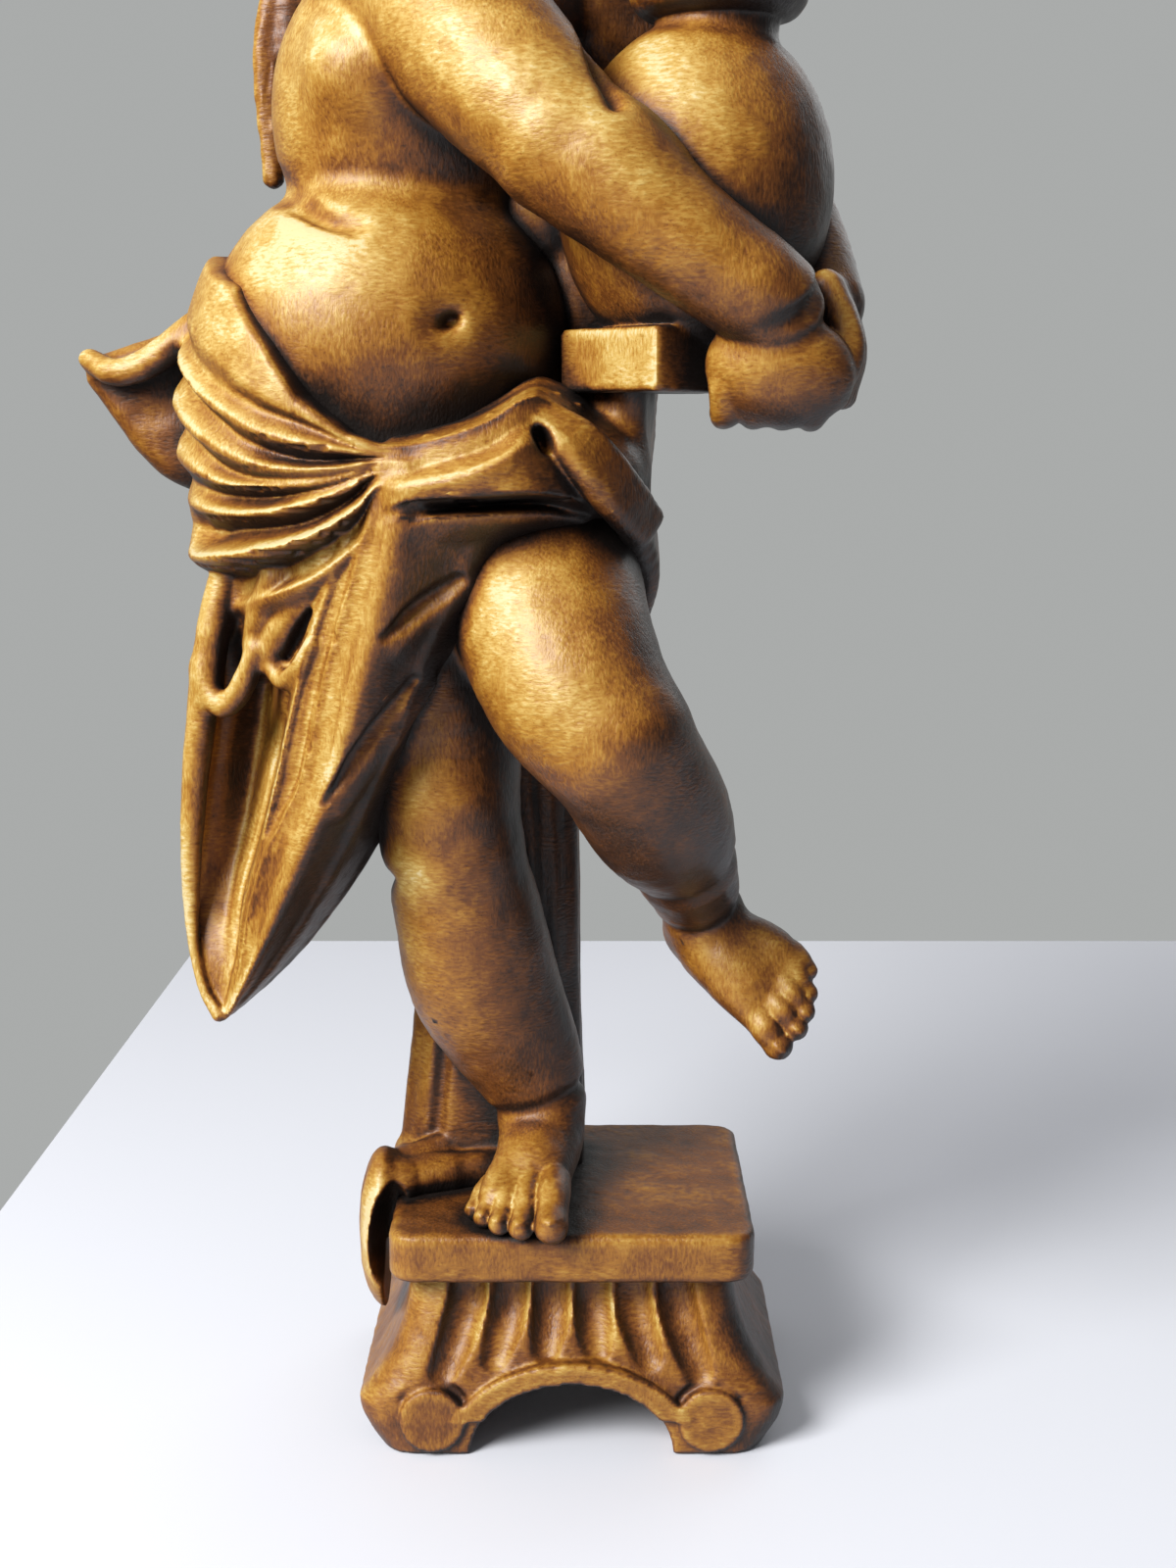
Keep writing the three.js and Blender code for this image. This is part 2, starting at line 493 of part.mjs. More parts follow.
// Fluted foot: flared sides, arch tunnel from front to back, scroll rolls at both sides
function fluteFoot() {
  const form = new Carving();
  const { height, middleY, spare } = base;
  const halfWidth = (z) => (z > base.spreadAt
    ? base.neck + (base.spread - base.neck) * ((height - z) / (height - base.spreadAt)) ** 2
    : base.foot + (base.spread - base.foot) * Math.sin(Math.PI / 2 * Math.max(z, 0) / base.spreadAt));
  const halfDepth = (z) => base.depthTop + (base.depthFoot - base.depthTop) * Math.min(1, (height - z) / 26);
  const box = [[-60, -50, -spare], [60, 54, height]];
  form.add(formula(...box, (x, y, z) => Math.max(
    0.85 * (Math.abs(x) - halfWidth(z)), 0.93 * (Math.abs(y - middleY) - halfDepth(z)),
    -z - spare, z - height)));
  for (const face of [-1, 1]) {
    for (let i = 0; i < flute.count; i++) {
      const x = (i - (flute.count - 1) / 2) * flute.pitch;
      const stop = arch.height + arch.border + flute.above - (x / arch.halfWidth) ** 2 * 5;
      const top = middleY + face * (base.depthTop + flute.offTop);
      const low = middleY + face * (halfDepth(stop) + flute.offFoot);
      form.cut(limb([[x, top, height + flute.above, flute.radius],
        [x, top, height - flute.straight, flute.radius], [x * flute.fan, low, stop, flute.radius * 0.9]]), 0.6);
    }
    for (const side of [-1, 1]) {
      const front = middleY + face * (base.depthFoot + scroll.proud);
      const half = scroll.depth / 2;
      const cx = side * scroll.x;
      form.add(formula([cx - 10, front - 12, 0], [cx + 10, front + 12, 24], (x, y, z) => Math.max(
        Math.hypot(x - cx, z - scroll.z) - scroll.radius, Math.abs(y - front + face * half) - half)));
      // hollow along the outer fillet
      form.cut(limb([[side * 34, middleY + face * 33, height - 2, 2.4],
        [side * 39, middleY + face * 37, 29, 2.6], [side * 43.5, middleY + face * 40.5, 20, 2]]), 1);
    }
  }
  const oval = (x, z) => (Math.hypot(x / arch.halfWidth, Math.max(z, 0) / arch.height) - 1) * arch.height;
  form.add(formula([-32, -60, -spare], [32, 60, 26], (x, y, z) => Math.max(
    Math.abs(oval(x, z) - arch.border / 2) - arch.border / 2,
    Math.abs(y - middleY) - base.depthFoot - arch.proud, -z - spare)), 0.5);
  form.cut(formula([-26, -60, -9], [26, 60, 22], (x, y, z) => oval(x, z)));
  return form;
}

// One wing, let into the back: long feathers hang from an arched top. side is -1 for the angel's right
function wingForm(side) {
  const form = new Carving();
  const yaw = radians(side < 0 ? wing.rightYaw : wing.leftYaw);
  const root = side < 0 ? [-41, 27.5, 0] : [-9, 27, 0];
  // a point of the wing by its distance outwards, its height and its distance off the back
  const spot = (out, up, back) => [root[0] + side * out * Math.cos(yaw) - back * Math.sin(yaw),
    root[1] + side * out * Math.sin(yaw) + back * Math.cos(yaw), up];
  const flat = [Math.cos(yaw), Math.sin(yaw), 0];
  const { top } = wing;
  form.add(band([[...spot(6, top - 14, 2), 5, 9], [...spot(13, top - 24, 2), 5, 15],
    [...spot(15, top - 40, 2), 4.5, 15]], flat));
  form.add(limb([[...spot(-2, top - 30, 0), 5.5], [...spot(6, top - 8, 1.5), 5.4], [...spot(16, top - 2, 2), 5],
    [...spot(26, top - 12, 2), 4.2]]), 2);
  for (let i = 0; i < wing.feathers; i++) {
    const t = i / (wing.feathers - 1);
    const out = 3 + (wing.width - 7) * t;
    const tip = top - 46 - 23 * t ** 0.8;
    form.add(band([[...spot(out * 0.85, top - 18, 2 - t), 3, 5], [...spot(out, top - 40, 3 - t), 2.6, 5.2],
      [...spot(out + 1, tip, 2), 1.8, 2.6]], flat), 0.8);
  }
  for (let i = 0; i < wing.feathers - 1; i++) {
    const t = i / (wing.feathers - 2);
    const out = 5 + (wing.width - 11) * t;
    form.add(band([[...spot(out * 0.9, top - 10, 4), 3, 5], [...spot(out, top - 26, 5), 2.8, 5],
      [...spot(out + 1, top - 34, 4), 2, 3]], flat), 0.8);
  }
  return form;
}

// Samples a carving on a cubic grid and cuts every cube into six tetrahedra to find its closed surface
function surface(carving, step) {
  const lo = carving.lo.map((v) => v - 1.5 * step);
  const count = carving.hi.map((v, i) => Math.ceil((v + 1.5 * step - lo[i]) / step) + 1);
  const [nx, ny, nz] = count;
  const index = (i, j, k) => (i * ny + j) * nz + k;
  const value = new Float32Array(nx * ny * nz);
  const size = 8;
  for (let bi = 0; bi < nx; bi += size) {
    for (let bj = 0; bj < ny; bj += size) {
      for (let bk = 0; bk < nz; bk += size) {
        const low = [bi, bj, bk].map((v, i) => lo[i] + v * step);
        const part = carving.within(low, low.map((v) => v + size * step));
        for (let i = bi; i < Math.min(bi + size, nx); i++) {
          for (let j = bj; j < Math.min(bj + size, ny); j++) {
            for (let k = bk; k < Math.min(bk + size, nz); k++) {
              value[index(i, j, k)] = part.at(lo[0] + i * step, lo[1] + j * step, lo[2] + k * step) || 1e-6;
            }
          }
        }
      }
    }
  }
  const points = [];
  const triangles = [];
  const seen = new Map();
  const offset = [...Array(8).keys()].map((c) => index(c & 1, (c >> 1) & 1, (c >> 2) & 1));
  const cell = [0, 0, 0];
  // the vertex where the surface crosses the edge from cube corner a to corner b
  const crossing = (a, b) => {
    if (a > b) [a, b] = [b, a];
    const start = index(...cell);
    const key = (start + offset[a]) * 8 + (a ^ b);
    if (!seen.has(key)) {
      const va = value[start + offset[a]];
      const vb = value[start + offset[b]];
      const t = Math.min(0.94, Math.max(0.06, va / (va - vb)));
      const place = (c, i) => cell[i] + ((c >> i) & 1);
      seen.set(key, points.length);
      points.push([0, 1, 2].map((i) => lo[i] + step * (place(a, i) + (place(b, i) - place(a, i)) * t)));
    }
    return seen.get(key);
  };
  const orders = [[0, 1, 2], [1, 2, 0], [2, 0, 1], [0, 2, 1], [2, 1, 0], [1, 0, 2]];
  const lone = [[0, 1, 2, 3], [1, 0, 3, 2], [2, 0, 1, 3], [3, 0, 2, 1]];
  const pairs = {
    3: [0, 1, 2, 3], 5: [0, 2, 3, 1], 9: [0, 3, 1, 2], 6: [1, 2, 0, 3], 10: [1, 3, 2, 0], 12: [2, 3, 0, 1],
  };
  const face = (a, b, c, flip) => triangles.push(flip ? [a, c, b] : [a, b, c]);
  for (let i = 0; i + 1 < nx; i++) {
    for (let j = 0; j + 1 < ny; j++) {
      for (let k = 0; k + 1 < nz; k++) {
        const start = index(i, j, k);
        let solid = 0;
        for (let c = 0; c < 8; c++) solid += value[start + offset[c]] < 0 ? 1 : 0;
        if (solid === 0 || solid === 8) continue;
        [cell[0], cell[1], cell[2]] = [i, j, k];
        orders.forEach(([p, q], turn) => {
          const tet = [0, 1 << p, (1 << p) | (1 << q), 7];
          const inside = tet.map((c) => value[start + offset[c]] < 0);
          const mask = inside.reduce((m, s, n) => m | (s ? 1 << n : 0), 0);
          const number = inside.filter(Boolean).length;
          const flip = turn > 2;
          if (number === 1 || number === 3) {
            const odd = inside.indexOf(number === 1);
            const [a, b, c, d] = lone[odd].map((n) => tet[n]);
            face(crossing(a, b), crossing(a, c), crossing(a, d), flip !== (number === 3));
          } else if (number === 2) {
            const [a, b, c, d] = pairs[mask].map((n) => tet[n]);
            const [ac, ad, bd, bc] = [crossing(a, c), crossing(a, d), crossing(b, d), crossing(b, c)];
            face(ac, ad, bd, flip);
            face(ac, bd, bc, flip);
          }
        });
      }
    }
  }
  return outerShell(points, triangles);
}

// Keeps the largest connected shell
function outerShell(points, triangles) {
  const parent = points.map((_, i) => i);
  const find = (v) => {
    while (parent[v] !== v) {
      parent[v] = parent[parent[v]];
      v = parent[v];
    }
    return v;
  };
  for (const [a, b, c] of triangles) {
    parent[find(b)] = find(a);
    parent[find(c)] = find(a);
  }
  const tally = new Map();
  for (const [a] of triangles) tally.set(find(a), (tally.get(find(a)) || 0) + 1);
  const main = [...tally].sort((p, q) => q[1] - p[1])[0][0];
  const kept = triangles.filter(([a]) => find(a) === main);
  const rename = new Map();
  const renumber = (v) => {
    if (!rename.has(v)) rename.set(v, rename.size);
    return rename.get(v);
  };
  const faceList = kept.map((t) => t.map(renumber));
  return { points: [...rename.keys()].map((v) => points[v]), triangles: faceList };
}

// Joins edges, flattest first, until a number of triangles is left; the surface stays closed
function simplified({ points, triangles }, target) {
  const pos = points.map((p) => [...p]);
  const tris = triangles.map((t) => [...t]);
  const alive = tris.map(() => true);
  const around = pos.map(() => new Set());
  const error = pos.map(() => new Float64Array(10));
  const version = new Int32Array(pos.length);
  const normalOf = (a, b, c) => {
    const u = [b[0] - a[0], b[1] - a[1], b[2] - a[2]];
    const v = [c[0] - a[0], c[1] - a[1], c[2] - a[2]];
    return [u[1] * v[2] - u[2] * v[1], u[2] * v[0] - u[0] * v[2], u[0] * v[1] - u[1] * v[0]];
  };
  tris.forEach((t, n) => {
    t.forEach((v) => around[v].add(n));
    const [a, b, c] = t.map((v) => pos[v]);
    const m = normalOf(a, b, c);
    const area = Math.hypot(...m) || 1e-12;
    const [x, y, z] = m.map((v) => v / area);
    const w = -(x * a[0] + y * a[1] + z * a[2]);
    const q = [x * x, x * y, x * z, x * w, y * y, y * z, y * w, z * z, z * w, w * w];
    t.forEach((v) => q.forEach((e, k) => { error[v][k] += e * area; }));
  });
  const cost = (q, [x, y, z]) => q[0] * x * x + 2 * q[1] * x * y + 2 * q[2] * x * z + 2 * q[3] * x
    + q[4] * y * y + 2 * q[5] * y * z + 2 * q[6] * y + q[7] * z * z + 2 * q[8] * z + q[9];
  // the place that keeps the two vertices' planes best, or else the better of the ends and the middle
  const settle = (q, a, b) => {
    const minor = [q[4] * q[7] - q[5] * q[5], q[2] * q[5] - q[1] * q[7], q[1] * q[5] - q[2] * q[4]];
    const det = q[0] * minor[0] + q[1] * minor[1] + q[2] * minor[2];
    const mid = between(a, b, 0.5);
    const choices = [a, b, mid];
    if (Math.abs(det) > 1e-5 * (q[0] + q[4] + q[7]) ** 3) {
      const best = [-(q[3] * minor[0] + q[6] * minor[1] + q[8] * minor[2]) / det,
        -(q[3] * minor[1] + q[6] * (q[0] * q[7] - q[2] * q[2]) + q[8] * (q[1] * q[2] - q[0] * q[5])) / det,
        -(q[3] * minor[2] + q[6] * (q[1] * q[2] - q[0] * q[5]) + q[8] * (q[0] * q[4] - q[1] * q[1])) / det];
      const span = Math.hypot(a[0] - b[0], a[1] - b[1], a[2] - b[2]);
      if (Math.hypot(best[0] - mid[0], best[1] - mid[1], best[2] - mid[2]) < 2 * span) choices.push(best);
    }
    return choices.reduce((p, c) => (cost(q, c) < cost(q, p) ? c : p));
  };
  const heap = [];
  const push = (item) => {
    let i = heap.push(item) - 1;
    while (i > 0 && heap[(i - 1) >> 1].price > item.price) {
      heap[i] = heap[(i - 1) >> 1];
      i = (i - 1) >> 1;
    }
    heap[i] = item;
  };
  const pop = () => {
    const top = heap[0];
    const last = heap.pop();
    let i = 0;
    while (heap.length && 2 * i + 1 < heap.length) {
      let child = 2 * i + 1;
      if (child + 1 < heap.length && heap[child + 1].price < heap[child].price) child += 1;
      if (heap[child].price >= last.price) break;
      heap[i] = heap[child];
      i = child;
    }
    if (heap.length) heap[i] = last;
    return top;
  };
  const neighbours = (v) => {
    const ring = new Set();
    for (const n of around[v]) tris[n].forEach((w) => { if (w !== v) ring.add(w); });
    return ring;
  };
  const offer = (a, b) => {
    const q = error[a].map((e, k) => e + error[b][k]);
    const place = settle(q, pos[a], pos[b]);
    const span = (pos[a][0] - pos[b][0]) ** 2 + (pos[a][1] - pos[b][1]) ** 2 + (pos[a][2] - pos[b][2]) ** 2;
    push({ a, b, va: version[a], vb: version[b], place, price: Math.max(cost(q, place), 0) + 1e-4 * span });
  };
  // no triangle may turn over or grow thin when vertex v moves
  const keepsShape = (v, other, place) => {
    for (const n of around[v]) {
      if (tris[n].includes(other)) continue;
      const old = tris[n].map((w) => pos[w]);
      const next = tris[n].map((w) => (w === v ? place : pos[w]));
      const before = normalOf(...old);
      const after = normalOf(...next);
      const areaBefore = Math.hypot(...before);
      const areaAfter = Math.hypot(...after);
      const dot = before[0] * after[0] + before[1] * after[1] + before[2] * after[2];
      if (dot < 0.35 * areaBefore * areaAfter) return false;
      const longest = Math.max(...next.map((p, k) => {
        const r = next[(k + 1) % 3];
        return (p[0] - r[0]) ** 2 + (p[1] - r[1]) ** 2 + (p[2] - r[2]) ** 2;
      }));
      if (areaAfter < 0.03 * longest) return false;
    }
    return true;
  };
  for (let v = 0; v < pos.length; v++) for (const w of neighbours(v)) if (v < w) offer(v, w);
  let left = tris.length;
  while (left > target && heap.length) {
    const { a, b, va, vb, place } = pop();
    if (version[a] !== va || version[b] !== vb) continue;
    const ringA = neighbours(a);
    const shared = [...neighbours(b)].filter((v) => ringA.has(v));
    if (shared.length !== 2 || !keepsShape(a, b, place) || !keepsShape(b, a, place)) continue;
    pos[a] = place;
    error[a] = error[a].map((e, k) => e + error[b][k]);
    for (const n of [...around[b]]) {
      if (tris[n].includes(a)) {
        alive[n] = false;
        left -= 1;
        tris[n].forEach((v) => around[v].delete(n));
      } else {
        tris[n] = tris[n].map((v) => (v === b ? a : v));
        around[a].add(n);
      }
    }
    around[b].clear();
    version[a] += 1;
    version[b] = -1;
    for (const v of neighbours(a)) offer(a, v);
  }
  return { points: pos, triangles: tris.filter((_, n) => alive[n]) };
}

function carvedMesh(name, carving, step, target) {
  const { points, triangles } = simplified(surface(carving, step), target);
  const geometry = new THREE.BufferGeometry();
  geometry.setAttribute('position', new THREE.Float32BufferAttribute(points.flat(), 3));
  geometry.setIndex(triangles.flat());
  geometry.computeVertexNormals();
  const mesh = new THREE.Mesh(geometry, new THREE.MeshStandardMaterial(wood));
  mesh.name = name;
  return mesh;
}

// The mesh as a solid for cutting
function solidOf(mesh) {
  return new wasm.Manifold(new wasm.Mesh({
    numProp: 3,
    vertProperties: mesh.geometry.getAttribute('position').array,
    triVerts: new Uint32Array(mesh.geometry.getIndex().array),
  }));
}

// Saws the foot off flat at the floor, with spare wood below it cut away
function levelled(mesh) {
  const waste = new THREE.BoxGeometry(300, 300, 100).translate(0, 0, -50);
  waste.deleteAttribute('normal');
  waste.deleteAttribute('uv');
  return trimmed(mesh, solidOf(new THREE.Mesh(mergeVertices(waste))));
}

// Trims a wing's root to the back it lies against, a hair's breadth off it
const fitted = (mesh, against) => trimmed(mesh, solidOf(against).translate(0, wing.gap, 0));

// The largest piece of a mesh that is left when a solid is cut away
function trimmed(mesh, tool) {
  const parts = solidOf(mesh).subtract(tool).decompose();
  const left = parts.reduce((a, b) => (b.volume() > a.volume() ? b : a)).getMesh();
  mesh.geometry.setAttribute('position', new THREE.BufferAttribute(left.vertProperties, 3));
  mesh.geometry.setIndex([...left.triVerts]);
  mesh.geometry.computeVertexNormals();
  return mesh;
}

const wasm = await Module();
wasm.setup();
const statue = new THREE.Group();
const angel = carvedMesh('figure', figure(), gridStep.figure, faces.figure);
statue.add(levelled(carvedMesh('base', fluteFoot(), gridStep.base, faces.base)));
statue.add(angel);
statue.add(fitted(carvedMesh('wing_right', wingForm(-1), gridStep.wing, faces.wing), angel));
statue.add(fitted(carvedMesh('wing_left', wingForm(1), gridStep.wing, faces.wing), angel));
// The origin goes to the floor under the middle of the whole statue's box
const extent = new THREE.Box3().setFromObject(statue);
const middle = extent.getCenter(new THREE.Vector3());
statue.position.set(-middle.x, -middle.y, -extent.min.z);

export default statue;
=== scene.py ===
# Carved limewood child angel that holds an urn, on a slab over a fluted scroll foot.
# The carving is worked out in millimetres about the middle of its foot, then set on the frame in metres.
import math

import bpy
import numpy as np
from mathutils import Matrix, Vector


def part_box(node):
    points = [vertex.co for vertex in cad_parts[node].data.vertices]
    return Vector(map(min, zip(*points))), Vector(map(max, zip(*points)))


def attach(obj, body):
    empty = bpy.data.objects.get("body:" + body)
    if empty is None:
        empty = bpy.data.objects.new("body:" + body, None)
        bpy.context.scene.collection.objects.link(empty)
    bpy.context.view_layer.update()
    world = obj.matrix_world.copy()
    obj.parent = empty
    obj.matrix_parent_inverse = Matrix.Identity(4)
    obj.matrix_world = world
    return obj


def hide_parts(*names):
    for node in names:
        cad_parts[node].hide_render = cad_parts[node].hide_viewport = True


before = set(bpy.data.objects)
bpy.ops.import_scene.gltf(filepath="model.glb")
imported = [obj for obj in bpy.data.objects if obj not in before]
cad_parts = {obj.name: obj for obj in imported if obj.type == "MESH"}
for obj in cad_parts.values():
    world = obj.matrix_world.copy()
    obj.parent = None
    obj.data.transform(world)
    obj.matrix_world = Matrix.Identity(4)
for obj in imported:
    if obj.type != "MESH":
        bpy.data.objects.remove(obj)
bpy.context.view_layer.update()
scene = bpy.context.scene
mm = 0.001


# Forms: each gives its signed distance at points and keeps the box that holds it
def smoothPath(stations, steps):
    # a curve through every station
    rows = np.asarray(stations, float)
    if len(rows) < 3:
        return rows
    rows = np.vstack([2 * rows[0] - rows[1], rows, 2 * rows[-1] - rows[-2]])
    t = (np.arange(steps) / steps)[:, None]
    path = []
    for a, b, c, d in zip(rows, rows[1:], rows[2:], rows[3:]):
        bend = (2 * a - 5 * b + 4 * c - d) * t**2 + (3 * b - a - 3 * c + d) * t**3
        path.append(0.5 * (2 * b + (c - a) * t + bend))
    return np.vstack(path + [rows[-2:-1]])


def unit(v):
    v = np.asarray(v, np.float32)
    return v / np.linalg.norm(v)


def turned(yaw, pitch, roll):
    # pitch about X, then roll about Y, then yaw about Z
    y, p, r = np.radians([yaw, pitch, roll])
    aboutX = np.array([[1, 0, 0], [0, math.cos(p), -math.sin(p)], [0, math.sin(p), math.cos(p)]])
    aboutY = np.array([[math.cos(r), 0, math.sin(r)], [0, 1, 0], [-math.sin(r), 0, math.cos(r)]])
    aboutZ = np.array([[math.cos(y), -math.sin(y), 0], [math.sin(y), math.cos(y), 0], [0, 0, 1]])
    return aboutZ @ aboutY @ aboutX


def boxDistance(u, v):
    # distance from a corner's two sides, given how far past each of them
    return np.hypot(np.maximum(u, 0), np.maximum(v, 0)) + np.minimum(np.maximum(u, v), 0)


class Rod:
    # round rod along stations (x, y, z, radius), or a flat strap with a half width and the side it lies on
    def __init__(self, stations, side=None, steps=5, relief=None):
        path = smoothPath(stations, steps).astype(np.float32)
        self.start = path[:-1, :3]
        self.edge = np.diff(path[:, :3], axis=0)
        self.length = np.sqrt((self.edge**2).sum(1)) + 1e-6
        self.run = np.concatenate([[0], np.cumsum(self.length)])
        self.thick = path[:, 3]
        self.side = None if side is None else unit(side)
        self.spare = np.zeros(len(path), np.float32)
        if side is not None:
            self.spare = np.maximum(path[:, 4] - path[:, 3], 0)
        self.relief = relief
        self.rows = np.arange(len(path) - 1)
        reach = (self.thick + self.spare)[:, None]
        self.lo = (path[:, :3] - reach).min(0)
        self.hi = (path[:, :3] + reach).max(0)

    def split(self, local, centre, rows):
        # distance, share of the segment and sideways offset, for every point and segment
        start, edge = self.start[rows] - centre, self.edge[rows]
        square = self.length[rows]**2
        dot = local @ edge.T - (start * edge).sum(1)
        t = np.clip(dot / square, 0, 1)
        apart = (local * local).sum(1)[:, None] - 2 * (local @ start.T) + (start * start).sum(1)
        apart = np.maximum(apart - t * (2 * dot - t * square), 0)
        thick = self.thick[rows] + (self.thick[rows + 1] - self.thick[rows]) * t
        if self.side is None:
            return np.sqrt(apart) - thick, t, apart
        off = (local @ self.side)[:, None] - start @ self.side - t * (edge @ self.side)
        spare = self.spare[rows] + (self.spare[rows + 1] - self.spare[rows]) * t
        past = np.maximum(np.abs(off) - spare, 0)
        return np.sqrt(np.maximum(apart - off * off, 0) + past * past) - thick, t, off

    def at(self, points, centre, reach):
        rough = self.split(np.zeros((1, 3), np.float32), centre, self.rows)[0][0]
        rows = self.rows[rough < rough.min() + 2 * reach]
        d, t, off = self.split(points - centre, centre, rows)
        if self.relief is None:
            return d.min(1)
        best = d.argmin(1)
        pick = (np.arange(len(points)), best)
        along = self.run[rows[best]] + t[pick] * self.length[rows[best]]
        return d[pick] + self.relief(along, off[pick])


class Egg:
    # ball with three radii
    def __init__(self, centre, radii, yaw=0, pitch=0, roll=0):
        self.centre = np.array(centre, np.float32)
        self.radii = np.array(radii, np.float32)
        self.turn = turned(yaw, pitch, roll).astype(np.float32)
        half = np.sqrt(((self.turn * self.radii)**2).sum(1))
        self.lo = self.centre - half
        self.hi = self.centre + half

    def at(self, points, centre, reach):
        q = (points - self.centre) @ self.turn / self.radii
        near = np.sqrt((q * q).sum(1))
        slope = np.sqrt(((q / self.radii)**2).sum(1))
        return np.where(slope > 1e-6, near * (near - 1) / np.maximum(slope, 1e-6), -self.radii.min())


class Curl:
    # flattened ball with a spiral groove, seen from the way it points out
    def __init__(self, centre, radius, out, hand=1, flat=0.72, groove=1.5, turns=1.9):
        self.centre = np.array(centre, np.float32)
        self.radius = radius
        z = unit(out)
        x = unit(np.cross([0.2, 0.1, 1], z))
        self.turn = np.stack([x, np.cross(z, x), z], 1).astype(np.float32)
        self.shape = (hand, flat, groove, turns)
        self.lo = self.centre - radius * 1.1
        self.hi = self.centre + radius * 1.1

    def at(self, points, centre, reach):
        hand, flat, groove, turns = self.shape
        q = (points - self.centre) @ self.turn
        radial = np.sqrt(q[:, 0]**2 + q[:, 1]**2)
        swirl = np.arctan2(q[:, 1], q[:, 0]) * hand - radial / self.radius * turns * 2 * math.pi
        r = np.array([self.radius, self.radius, self.radius * flat], np.float32)
        near = np.sqrt(((q / r)**2).sum(1))
        slope = np.sqrt(((q / r**2)**2).sum(1))
        ball = near * (near - 1) / np.maximum(slope, 1e-6)
        return ball + groove * (0.5 + 0.5 * np.cos(swirl))**2 * np.clip(radial / self.radius * 4, 0, 1)


class Block:
    # box with rounded edges, its upright corners rounded more, turned about the vertical
    def __init__(self, centre, half, corner, edge, yaw=0):
        self.centre = np.array(centre, np.float32)
        self.size = (half, corner, edge, math.cos(math.radians(yaw)), math.sin(math.radians(yaw)))
        wide = math.hypot(half[0], half[1])
        self.lo = self.centre - [wide, wide, half[2]]
        self.hi = self.centre + [wide, wide, half[2]]

    def at(self, points, centre, reach):
        half, corner, edge, cos, sin = self.size
        p = points - self.centre
        u = np.abs(p[:, 0] * cos + p[:, 1] * sin) - half[0] + corner
        v = np.abs(p[:, 1] * cos - p[:, 0] * sin) - half[1] + corner
        plan = boxDistance(u, v) - corner + edge
        rise = np.abs(p[:, 2]) - half[2] + edge
        return boxDistance(plan, rise) - edge


class Formula:
    # any distance worked out from x, y and z inside a box
    def __init__(self, lo, hi, rule):
        self.lo = np.array(lo, np.float32)
        self.hi = np.array(hi, np.float32)
        self.rule = rule

    def at(self, points, centre, reach):
        return self.rule(*points.T).astype(np.float32)


class Grown:
    # a form made thicker all round
    def __init__(self, form, by):
        self.form = form
        self.by = by
        self.lo = form.lo - by
        self.hi = form.hi + by

    def at(self, points, centre, reach):
        return self.form.at(points, centre, reach) - self.by


def softMin(a, b, blend):
    # the lesser of two distances, rounded where they meet
    if blend <= 0:
        return np.minimum(a, b)
    h = np.maximum(blend - np.abs(a - b), 0) / blend
    return np.minimum(a, b) - h * h * blend * 0.25


class Carving:
    # forms joined and cut one after another, each with the width of its soft meeting line
    margin = 6.0
    empty = 40.0

    def __init__(self):
        self.steps = []
        self.boxes = None
        self.lo = np.full(3, 1e6)
        self.hi = np.full(3, -1e6)

    def note(self, kind, form, blend):
        self.steps.append((kind, form, blend))
        self.boxes = None
        return self

    def add(self, form, blend=0):
        self.lo = np.minimum(self.lo, form.lo)
        self.hi = np.maximum(self.hi, form.hi)
        return self.note("add", form, blend)

    def cut(self, form, blend=0):
        return self.note("cut", form, blend)

    def keep(self, form, blend=0):
        return self.note("keep", form, blend)

    def at(self, points, centre, reach):
        if self.boxes is None:
            parts = [(form.lo, form.hi, blend) for kind, form, blend in self.steps]
            self.boxes = [np.array(column, np.float32) for column in zip(*parts)]
        lo, hi, blends = self.boxes
        gap = np.sqrt((np.maximum(np.maximum(lo - centre, centre - hi), 0)**2).sum(1))
        d = np.full(len(points), self.empty, np.float32)
        for i in np.flatnonzero(gap < reach + blends + self.margin):
            kind, form, blend = self.steps[i]
            v = form.at(points, centre, reach)
            if kind == "add":
                d = softMin(d, v, blend)
            elif kind == "cut":
                d = -softMin(-d, v, blend)
            else:
                d = -softMin(-d, -v, blend)
        return d


def sample(form, points, cell):
    # distances at scattered points, block by block
    halfDiagonal, span = 0.87, 4096
    block = np.floor(points / cell).astype(np.int64)
    key = (block[:, 0] * span + block[:, 1]) * span + block[:, 2]
    order = np.argsort(key, kind="stable")
    value = np.empty(len(points), np.float32)
    for rows in np.split(order, np.flatnonzero(np.diff(key[order])) + 1):
        centre = ((block[rows[0]] + 0.5) * cell).astype(np.float32)
        value[rows] = form.at(points[rows], centre, cell * halfDiagonal)
    return value


# Coarse grid in steps, the blocks that are worked out at once, and the band that counts as near the surface
carveGrid = dict(coarse=4, firstBlock=20, block=10, near=2.6)


def carve(form, step):
    # distances on a grid that is made finer only near the surface
    wide = carveGrid["coarse"] * step
    lo = np.floor(form.lo) - wide
    count = np.ceil((form.hi - lo + wide) / wide).astype(int) + 1
    place = lambda index, size: (lo + size * index).astype(np.float32)
    everywhere = np.argwhere(np.ones(count, bool))
    value = sample(form, place(everywhere, wide), carveGrid["firstBlock"]).reshape(count)
    for size in (2 * step, step):
        value = value.repeat(2, 0).repeat(2, 1).repeat(2, 2)
        near = np.abs(value) < carveGrid["near"] * size
        value[near] = sample(form, place(np.argwhere(near), size), carveGrid["block"] * size)
    return surfaceNet(value, lo, step)


